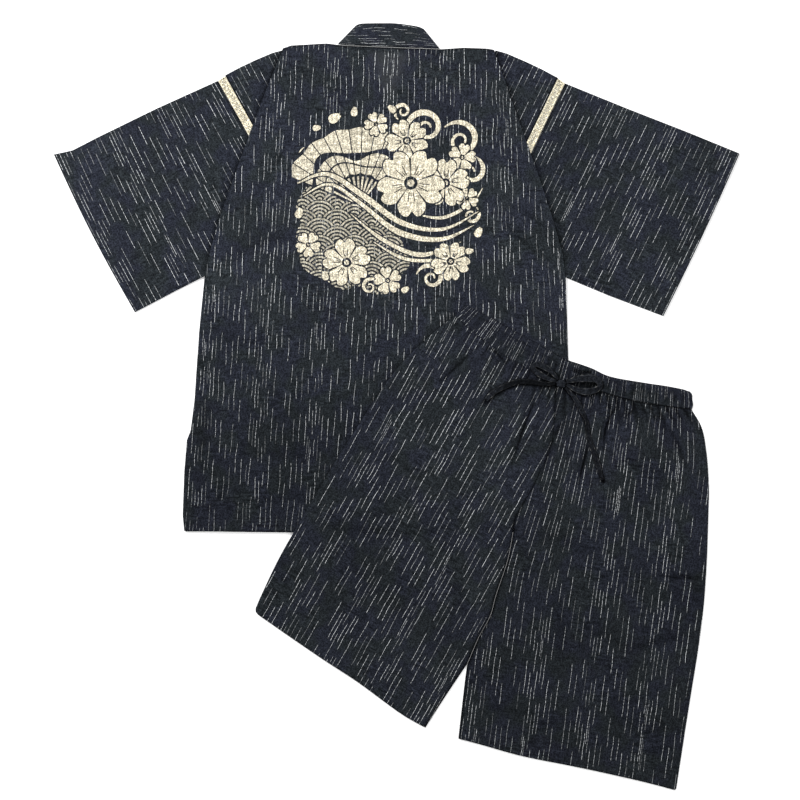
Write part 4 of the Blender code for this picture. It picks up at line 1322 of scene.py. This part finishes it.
def stitchGroup():
    tree, given = startGroup("stitchRow", "GeometryNodeTree", (("Line", "Geometry", None), *threadInputs()),
                             (("Stitches", "Geometry"),))
    line = valueOf(tree, "GeometryNodeMeshToCurve", (given["Line"],))
    spaced = valueOf(tree, "GeometryNodeResampleCurve", {"Curve": line, "Length": given["Pitch"]},
                     mode="LENGTH")
    bead = valueOf(tree, "GeometryNodeMeshUVSphere", {"Segments": 6, "Rings": 4, "Radius": 0.5})
    turned = valueOf(tree, "FunctionNodeAlignRotationToVector",
                     {"Vector": valueOf(tree, "GeometryNodeInputTangent")}, axis="Z")
    uneven = addNode(tree, "FunctionNodeRandomValue",
                     {"Min": 0.84, "Max": 1.08, "Seed": given["Seed"]}, data_type="FLOAT")
    drawn = Value(tree, [output for output in uneven.outputs if output.enabled][0])
    size = valueOf(tree, "ShaderNodeCombineXYZ",
                   (given["Thickness"], given["Thickness"], drawn * given["Length"]))
    placed = valueOf(tree, "GeometryNodeInstanceOnPoints",
                     {"Points": spaced, "Instance": bead, "Rotation": turned, "Scale": size})
    solid = valueOf(tree, "GeometryNodeRealizeInstances", (placed,))
    painted = valueOf(tree, "GeometryNodeSetMaterial", {"Geometry": solid, "Material": given["Thread"]})
    addNode(tree, "NodeGroupOutput", {"Stitches": painted})
    return tree


def hemRow(plan, inset):  # places a set distance above a plan's last row
    below = lengthsAlong(plan[..., 0], plan[..., 1], 0)
    row = [[np.interp(below[-1, k] - inset, below[:, k], plan[:, k, axis]) for axis in (0, 1)]
           for k in range(plan.shape[1])]
    return np.array(row)


def besideLine(line, offset):  # a line moved sideways by a distance
    line = np.asarray(line, float)
    run = np.gradient(line, axis=0)
    run /= np.linalg.norm(run, axis=1, keepdims=True)
    return line + offset * np.column_stack([-run[:, 1], run[:, 0]])


def stitchRoutes():
    shares = np.linspace(0, 1, 90)
    inset = stitching["inset"]
    routes = {}
    across = (2 * shares - 1) * (halfWidth(jacket["length"], 2 * shares - 1) - 5)
    hem = bodyLevel(across, jacket["length"] - jacket["hemTurn"]) - jacket["hemSag"] * (
        1 - (2 * shares - 1) ** 2) * smooth(0.76)
    routes["jacketBack"] = [np.column_stack([jacket["centreX"] + across, hem])]
    seamX = curvePoints([(place, 0) for place in collarSeam], shares)[:, 0]
    seam = np.column_stack([seamX, bodyLevel(seamX - jacket["centreX"], 0) + 1])
    top = curvePoints(collarTop, shares)
    routes["collarBack"] = [seam + step * (top - seam) for step in (0.1, 0.86)]
    for side, word in ((-1, "Left"), (1, "Right")):
        length = sleeves[side]["outTop"][-1]
        down = np.linspace(0.008, 0.992, 90)
        cuff, armhole = sleevePlan(side, np.array([1 - jacket["cuffTurn"] / length, inset / length]), down)
        routes["sleeve" + word] = [cuff, armhole[outsideBack(*armhole.T) > -4]]
        fold = lacePlan(side, [jacket["laceWidth"] + inset], down)[0]
        routes["shoulderFold" + word] = [fold[outsideBack(*fold.T) > -2]]
    for word, leg in legs.items():
        plan = legPlan(leg, edgeShares(80, 0.004))
        seam = curvePoints(crotchSeam, np.linspace(0.01, 0.99, 120))
        routes["shortsFront" + word.title()] = [hemRow(plan, shorts["hemTurn"])]
        if leg["side"] > 0:
            routes["shortsFrontRight"].append(besideLine(seam, -4.5))
    band = waistPlan(np.linspace(0, 1, 120), np.array([0.06, 0.28, 0.9]))
    turn = np.linspace(0, 2 * math.pi, 40)
    eyelet = eyeletPlace + np.outer(np.cos(turn), eyeletReach) + np.outer(np.sin(turn), eyeletRise)
    routes["waistbandCasing"] = [row[2:-2] for row in band] + [eyelet]
    return routes


def buildStitches(piece, rows, group, material):
    depsgraph = bpy.context.evaluated_depsgraph_get()
    surface = BVHTree.FromObject(piece, depsgraph)
    vertices, edges = [], []
    for row in rows:
        shares = np.linspace(0, 1, max(2, round(runLength(row) / stitching["probe"])))
        before = None
        for x, y in curvePoints(row, shares, 2) * mm:
            place = surface.ray_cast(Vector((x, y, 0.05)), Vector((0, 0, -1)))[0]
            if place is None:
                before = None
                continue
            vertices.append((x, y, place.z + stitching["rise"] * mm))
            if before is not None:
                edges.append((before, len(vertices) - 1))
            before = len(vertices) - 1
    mesh = bpy.data.meshes.new(piece.name + "StitchLine")
    mesh.from_pydata(vertices, edges, [])
    line = bpy.data.objects.new(piece.name + "StitchLine", mesh)
    scene.collection.objects.link(line)
    nodes = line.modifiers.new("stitches", "NODES")
    nodes.node_group = group
    sockets = {item.name: item.identifier for item in group.interface.items_tree
               if item.item_type == "SOCKET" and item.in_out == "INPUT"}
    for title, kind, value in threadInputs(material):
        nodes[sockets[title]] = value
    bpy.context.view_layer.update()
    made = bpy.data.meshes.new_from_object(line.evaluated_get(bpy.context.evaluated_depsgraph_get()))
    bpy.data.objects.remove(line)
    bpy.data.meshes.remove(mesh)
    made.name = piece.name + "Stitches"
    made.polygons.foreach_set("use_smooth", [True] * len(made.polygons))
    stitches = bpy.data.objects.new(made.name, made)
    scene.collection.objects.link(stitches)
    return stitches


# The drawstring: flat bands of folded cloth, tied in a bow

tie = {
    "wall": 1.5, "clearance": 0.35, "knotSize": (7.8, 6.4, 2.9), "knotPlace": (256.0, 36.0),
    "knotBox": (8.2, 6.8), "colour": (0.0165, 0.0190, 0.0240), "dark": (0.0070, 0.0082, 0.0110),
    # edge: the colour of the painted highlight along the band's edges
    "edge": (0.30, 0.30, 0.29),
}
tieRuns = {   # angles round the knot, route, then shares, widths and rolls along it
    "tieLoopRight": {
        "node": "tie_loop_right", "leaves": 118, "returns": 148, "width": 6.6, "far": "object",
        "route": ((238, 57), (225, 64), (216, 66), (212, 61), (218, 54), (229, 47), (239, 42.5)),
        "at": (0, 0.12, 0.3, 0.47, 0.55, 0.75, 0.9, 1),
        "widths": (3.4, 6.2, 9.6, 8.4, 8.2, 9.0, 6.4, 3.4), "rolls": (14, 18, 10, 30, 32, -6, -12, -8)},
    "tieTailRight": {
        "node": "tie_tail_right", "leaves": 180, "returns": None, "width": 7.6, "far": "bare",
        "route": ((229, 36), (208, 39), (188, 39), (169, 32), (152, 23), (139, 11)),
        "at": (0, 0.1, 0.3, 0.6, 0.8, 0.95, 1),
        "widths": (3.4, 5.2, 8.0, 8.2, 7.8, 7.4, 6.4), "rolls": (0, -14, -22, -16, 8, 4, 0),
        "paintedShadow": (0.8, 0.8, 0.78, 0.74, 0.4, 0.1, 0.1)},
    "tieLoopLeft": {
        "node": "tie_loop_left", "leaves": 22, "returns": -10, "width": 7.4, "far": "object",
        "route": ((278, 42.5), (298, 44.5), (312, 42), (317, 34), (310, 26.5), (292, 23.5), (277, 28)),
        "at": (0, 0.12, 0.3, 0.45, 0.55, 0.75, 0.9, 1),
        "widths": (3.8, 8.6, 12.2, 10.6, 9.0, 10.8, 7.6, 3.8), "rolls": (-8, -10, -6, -22, -30, 14, 16, 10)},
    "tieTailLeft": {
        "node": "tie_tail_left", "leaves": -45, "returns": None, "width": 7.2, "far": "bare", "shadow": 0.8,
        "route": ((279, 11), (288, -7), (295, -21), (298, -38), (301, -55), (307, -71), (314, -92),
                  (321, -114)),
        "at": (0, 0.08, 0.2, 0.3, 0.38, 0.6, 0.85, 1),
        "widths": (3.4, 5.4, 8.0, 7.0, 5.6, 7.6, 7.6, 3.6), "rolls": (10, 18, 26, -20, -38, 14, 20, 4),
        "paintedShadow": (0.5, 0.3, 0.1, 0.2, 0.6, 0.5, 0.5, 0.6)},
}


def waistSeamRoom(x, y):  # height the gathers may add near the waist seam
    places = np.array(waistRight + waistLeft[1:], float)
    seam = np.interp(x, places[:, 0], places[:, 1])
    return 1.15 * shorts["gatherRise"] * (1 - smooth(0.8 * (seam - y) / shorts["gatherFade"]))


def frontCover(x, y):  # highest that the shorts come under the tie
    return frontTop(x, y) + waistSeamRoom(x, y)


def tieBase(points, spread=3.5):  # cover under a band that bridges small hollows
    x, y = points[:, 0], points[:, 1]
    around = [frontCover(x + spread * math.cos(a), y + spread * math.sin(a))
              for a in np.linspace(0, 2 * math.pi, 7)[:-1]]
    return np.max([frontCover(x, y), *around], axis=0)


def knotExit(angle):
    turn = math.radians(angle)
    return (tie["knotPlace"][0] + (tie["knotBox"][0] + 0.3) * math.cos(turn),
            tie["knotPlace"][1] + (tie["knotBox"][1] + 0.3) * math.sin(turn))


def tieShade(x, y):  # the bow keeps the light off the cloth just below and to the right of it
    total = np.zeros(np.shape(x))
    for run in tieRuns.values():
        points = [knotExit(run["leaves"]), *run["route"]]
        away = distanceToLine(x - 0.6, y + 1.6, points)[0]
        spread = 0.5 * run["width"] + run.get("shadow", 3.0)
        total = darkest(total, 0.95 * bell(away, spread, 4))
    # painted shade in the hollows inside the two loops
    for axis, reach in (((268, 35), (309, 34)), 6.0), (((247, 45), (219, 60)), 4.5):
        total = darkest(total, 0.9 * bell(distanceToLine(x, y, axis)[0], reach, 4))
    return total


def buildTieRun(name, run, material):
    points = [knotExit(run["leaves"]), *run["route"]]
    if run["returns"] is not None:
        points.append(knotExit(run["returns"]))
    count = round(runLength(points) / 1.1)
    shares = np.linspace(0, 1, count + 1)
    plan = curvePoints(points, shares)
    base = tieBase(plan)
    for _ in range(6):                          # the band is stiffer than the gathers below it
        base[1:-1] = np.maximum(base[1:-1], (base[:-2] + base[2:]) / 2)
    width = np.interp(shares, run["at"], run["widths"])
    width *= 1 + 0.10 * softNoise(shares * 100, 0.4, 9.0, 71 + len(name))
    roll = np.radians(np.interp(shares, run["at"], run["rolls"]))
    lift = tie["clearance"] + tie["wall"] / 2 + 0.5 * width * np.abs(np.sin(roll)) * 0.8
    if run["returns"] is not None:              # the returning half lies over the first
        lift += 1.5 * bell(shares - 0.78, 0.2)
    centre = np.column_stack([plan, base + lift])
    tangent = np.gradient(plan, axis=0)
    tangent /= np.linalg.norm(tangent, axis=1, keepdims=True)
    sideways = np.column_stack([-tangent[:, 1], tangent[:, 0]])
    ring = 16
    angles = 2 * math.pi * np.arange(ring) / ring
    flat = np.cos(angles)
    thick = np.sin(angles) * (0.62 + 0.38 * np.abs(flat))      # edges a little fuller than the middle
    fold = 0.28 * np.sin(2.3 * math.pi * (flat + 1) / 2)       # lengthwise rumple
    a = 0.5 * width[:, None] * flat[None, :]
    b = 0.5 * tie["wall"] * thick[None, :] + fold[None, :] * smooth(shares * 14)[:, None]
    a2 = a * np.cos(roll)[:, None] - b * np.sin(roll)[:, None]
    b2 = a * np.sin(roll)[:, None] + b * np.cos(roll)[:, None]
    x = centre[:, 0:1] + a2 * sideways[:, 0:1]
    y = centre[:, 1:2] + a2 * sideways[:, 1:2]
    z = np.maximum(centre[:, 2:3] + b2, frontCover(x, y) + 0.12)
    rows = len(shares)
    vertices = np.stack([x, y, z], axis=-1).reshape(-1, 3)
    grid = np.arange(rows * ring).reshape(rows, ring)
    turned = np.roll(grid, -1, axis=1)
    faces = np.stack([grid[:-1], turned[:-1], turned[1:], grid[1:]], axis=-1).reshape(-1, 4).tolist()
    ends = [vertices[:ring].mean(axis=0), vertices[-ring:].mean(axis=0)]
    vertices = np.concatenate([vertices, ends])
    first, last = rows * ring, rows * ring + 1
    for n in range(ring):
        m = (n + 1) % ring
        faces.append((int(grid[0, m]), int(grid[0, n]), first))
        faces.append((int(grid[-1, n]), int(grid[-1, m]), last))
    along = np.concatenate([[0], np.cumsum(np.linalg.norm(np.diff(centre, axis=0), axis=1))])
    grain = np.stack([a + 0 * along[:, None], along[:, None] + 0 * a], axis=-1).reshape(-1, 2)
    grain = np.concatenate([grain, [[0, 0], [0, along[-1]]]])
    piece = makeMesh(name, vertices, faces, material, grain)
    turnOutward(piece.data)
    # Painted highlights here and there along the band's edges.
    edge = smooth((np.abs(flat) - 0.78) / 0.22)[None, :] * (
        0.06 + 3.2 * np.maximum(softNoise(along, 0.3, 7.0, 88.0), 0) ** 2)[:, None]
    mark(piece, "edge", np.concatenate([edge.ravel(), [0, 0]]))
    # Painted shade down the band's lengthwise pleat and near the knot.
    pleat = 0.75 * bell(flat + 0.2, 0.26)[None, :] * smooth(
        0.5 + 1.6 * softNoise(along, 0.9, 11.0, 17.0))[:, None]
    nearKnot = 0.7 * np.exp(-(np.linalg.norm(plan - tie["knotPlace"], axis=1) - 7) / 4.0)
    # painted shadow along each run, darkest on the tails
    paintedShadow = np.interp(shares, run["at"], run.get("paintedShadow", [0.2] * len(run["at"])))
    shade = darkest(pleat, nearKnot[:, None], paintedShadow[:, None])
    mark(piece, "shade", np.concatenate([shade.ravel(), [0, 0]]))
    return piece, centre


def buildKnot(material):
    px, py = tie["knotPlace"]
    sizeX, sizeY, sizeZ = tie["knotSize"]
    base = float(tieBase(np.array([[px, py]]), 6.0)[0]) + tie["clearance"] * 0.5
    rings, sectors = 25, 48
    vertices, grain = [], []
    for i in range(1, rings):
        polar = math.pi * i / rings
        for j in range(sectors):
            turn = 2 * math.pi * j / sectors
            direction = Vector((math.sin(polar) * math.cos(turn), math.sin(polar) * math.sin(turn),
                                math.cos(polar)))
            boxy = sum(abs(share) ** 2.6 for share in direction) ** (-1 / 2.6)
            # Pleats run in from the loops; one wrap crosses the middle.
            pleat = 0.07 * math.sin(7 * math.atan2(direction.y, direction.x) + 1.1) * abs(direction.x)
            wrap = 0.10 * math.exp(-((direction.x + 0.35 * direction.y) / 0.34) ** 2)
            uneven = 0.06 * noise.noise(direction * 2.3 + Vector((4.2, 0, 0)))
            reach = boxy * (0.9 + pleat + wrap + uneven)
            vertices.append((px + sizeX * reach * direction.x, py + sizeY * reach * direction.y,
                             base + sizeZ * (1 + reach * direction.z)))
            grain.append((sizeX * turn, sizeZ * 2 * polar))
    vertices.append((px, py, base + sizeZ * 1.95))
    vertices.append((px, py, base + sizeZ * 0.08))
    grain.extend([(0, 0), (0, sizeZ * 6)])
    top, bottom = len(vertices) - 2, len(vertices) - 1
    faces = []
    for j in range(sectors):
        k = (j + 1) % sectors
        faces.append((top, j, k))
        faces.append((bottom, (rings - 2) * sectors + k, (rings - 2) * sectors + j))
        for i in range(rings - 2):
            faces.append((i * sectors + j, (i + 1) * sectors + j, (i + 1) * sectors + k, i * sectors + k))
    return makeMesh("tieKnot", vertices, faces, material, grain)


# Stage

light = {
    "world": 0.36, "keyPower": 112.0, "keySize": 1.2, "keyPlace": (-1.6, 1.8, 2.0),
    "fillPower": 34.0, "fillSize": 2.2, "fillPlace": (1.5, -0.8, 2.2),
    "floor": (0.93, 0.93, 0.93), "floorGlow": 0.3, "floorReach": 6.0, "floorLow": 0.5,
}


def addAreaLight(name, place, size, power):
    data = bpy.data.lights.new(name, "AREA")
    data.shape = "SQUARE"
    data.size = size
    data.energy = power
    lamp = bpy.data.objects.new(name, data)
    lamp.location = place
    lamp.rotation_euler = (-Vector(place)).to_track_quat("-Z", "Y").to_euler()
    scene.collection.objects.link(lamp)


def buildStage():
    world = bpy.data.worlds.new("paleStudio")
    world.use_nodes = True
    setInputs(world.node_tree.nodes["Background"], {"Color": (1, 1, 1, 1), "Strength": light["world"]})
    scene.world = world
    scene.view_settings.view_transform = "Standard"
    addAreaLight("keyLight", light["keyPlace"], light["keySize"], light["keyPower"])
    addAreaLight("fillLight", light["fillPlace"], light["fillSize"], light["fillPower"])
    size = light["floorReach"]
    mesh = bpy.data.meshes.new("floor")
    mesh.from_pydata([(-size, -size, 0), (size, -size, 0), (size, size, 0), (-size, size, 0)], [],
                     [(0, 1, 2, 3)])
    material = bpy.data.materials.new("paleFloor")
    material.use_nodes = True
    setInputs(material.node_tree.nodes["Principled BSDF"], {
        "Base Color": (*light["floor"], 1), "Emission Color": (1, 1, 1, 1),
        "Emission Strength": light["floorGlow"],                # keeps the set's shadow pale
        "Roughness": 0.9, "Specular IOR Level": 0.0})
    mesh.materials.append(material)
    floor = bpy.data.objects.new("floor", mesh)
    floor.location.z = -light["floorLow"] * mm
    scene.collection.objects.link(floor)


buildStage()


def declare(piece, node):
    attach(piece, "root")
    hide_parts(node)
    node + "_cloth"


tops = clothMaterial("jacketCloth", 1, 68.0, 6.0)
collarCloth = clothMaterial("collarCloth", 6, 58.0, 9.0)
print("jacket")
back = buildBack(tops)
inkFilm = plainMaterial("printInk", artwork["ink"], artwork["wornInk"], 0.7, scale=2.2,
                        edge=artwork["thinInk"], streak=0.35)
backPrint = buildPrint(inkFilm)
frontSides = ((-1, "Left", leftFrontLevel), (1, "Right", rightFrontLevel))
fronts = {side: buildFront("jacketFront" + word, side, level, tops) for side, word, level in frontSides}
collars = {side: buildFrontCollar("collarFront" + word, side, level, tops)
           for side, word, level in frontSides}
collarBack = buildBackCollar(collarCloth)
sleeveCloth = clothMaterial("sleeveCloth", 2, 76.0, 0.6)
laceThread = plainMaterial("creamLace", lace["colour"], lace["dark"], 0.2)
sleevePieces, laces, folds = {}, {}, {}
for side, word in ((-1, "Left"), (1, "Right")):
    sleevePieces[side] = buildSleeve("sleeve" + word, side, sleeveCloth)
    laces[side] = buildLace("armholeLace" + word, side, laceThread)
    folds[side] = buildShoulderFold("shoulderFold" + word, side, sleeveCloth)

print("shorts")
shortsCloth = clothMaterial("shortsCloth", 3, 84.0, 3.6, tone=0.86)
legPieces = {word: buildLeg("shortsFront" + word.title(), legs[word], shortsCloth)
             for word in ("right", "left")}
waistband = buildWaistband(shortsCloth)

print("drawstring")
tieCloth = plainMaterial("tieCloth", tie["colour"], tie["dark"], 0.5, edge=tie["edge"])
tiePieces = {name: buildTieRun(name, run, tieCloth) for name, run in tieRuns.items()}
knot = buildKnot(tieCloth)

print("stitches")
thread = plainMaterial("navyThread", stitching["colour"], stitching["dark"], 0.2)
stitchTree = stitchGroup()
sewn = [back, collarBack, waistband, *sleevePieces.values(), *folds.values(), legPieces["right"][0],
        legPieces["left"][0]]
routes = stitchRoutes()
rows = {piece: [buildStitches(piece, routes[piece.name], stitchTree, thread)] for piece in sewn}
rows[back].append(backPrint)

sheets = (
    (back, "jacket_back", (0.632, 0.757), 0.435, "laid", ["jacketFrontLeft", "jacketFrontRight"]),
    (fronts[-1], "jacket_front_left", (0.41, 0.754), 0.28, "laid", []),
    (fronts[1], "jacket_front_right", (0.41, 0.754), 0.28, "laid", ["jacketFrontLeft"]),
    (collars[-1], "collar_front_left", (0.034, 0.75), None, "laid", []),
    (collars[1], "collar_front_right", (0.034, 0.75), None, "laid", []),
    (collarBack, "collar_back", (0.075, 0.135), None, "folded", []),
    (sleevePieces[-1], "sleeve_left", (0.54, 0.28), None, "folded", []),
    (sleevePieces[1], "sleeve_right", (0.54, 0.295), None, "folded", []),
    (laces[-1], "armhole_lace_left", (0.54, 0.0134), None, "folded", []),
    (laces[1], "armhole_lace_right", (0.55, 0.0134), None, "folded", []),
    (folds[-1], "shoulder_fold_left", (0.29, 0.097), 0.0145, "folded", []),
    (folds[1], "shoulder_fold_right", (0.29, 0.105), 0.0155, "folded", []),
    (legPieces["right"][0], "shorts_front_right", (0.36, 0.62), None, "gathered", ["shortsBackRight"]),
    (legPieces["left"][0], "shorts_front_left", (0.40, 0.62), None, "gathered", ["shortsBackLeft"]),
    (legPieces["right"][1], "shorts_back_right", (0.36, 0.62), None, "gathered", ["jacketBack"]),
    (legPieces["left"][1], "shorts_back_left", (0.36, 0.62), None, "gathered", ["jacketBack"]),
    (waistband, "waistband", (0.85, 0.045), None, "gathered", ["jacketBack"]),
)
for piece, node, flat, area, held, restsOn in sheets:
    declare(piece, node)
    for extra in rows.get(piece, []):
        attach(extra, "root")
        node + "_cloth"
declare(knot, "tie_knot")
for name, (piece, centre) in tiePieces.items():
    run = tieRuns[name]
    declare(piece, run["node"])
    tuple(centre[0] * mm)
    (centre * mm).tolist()
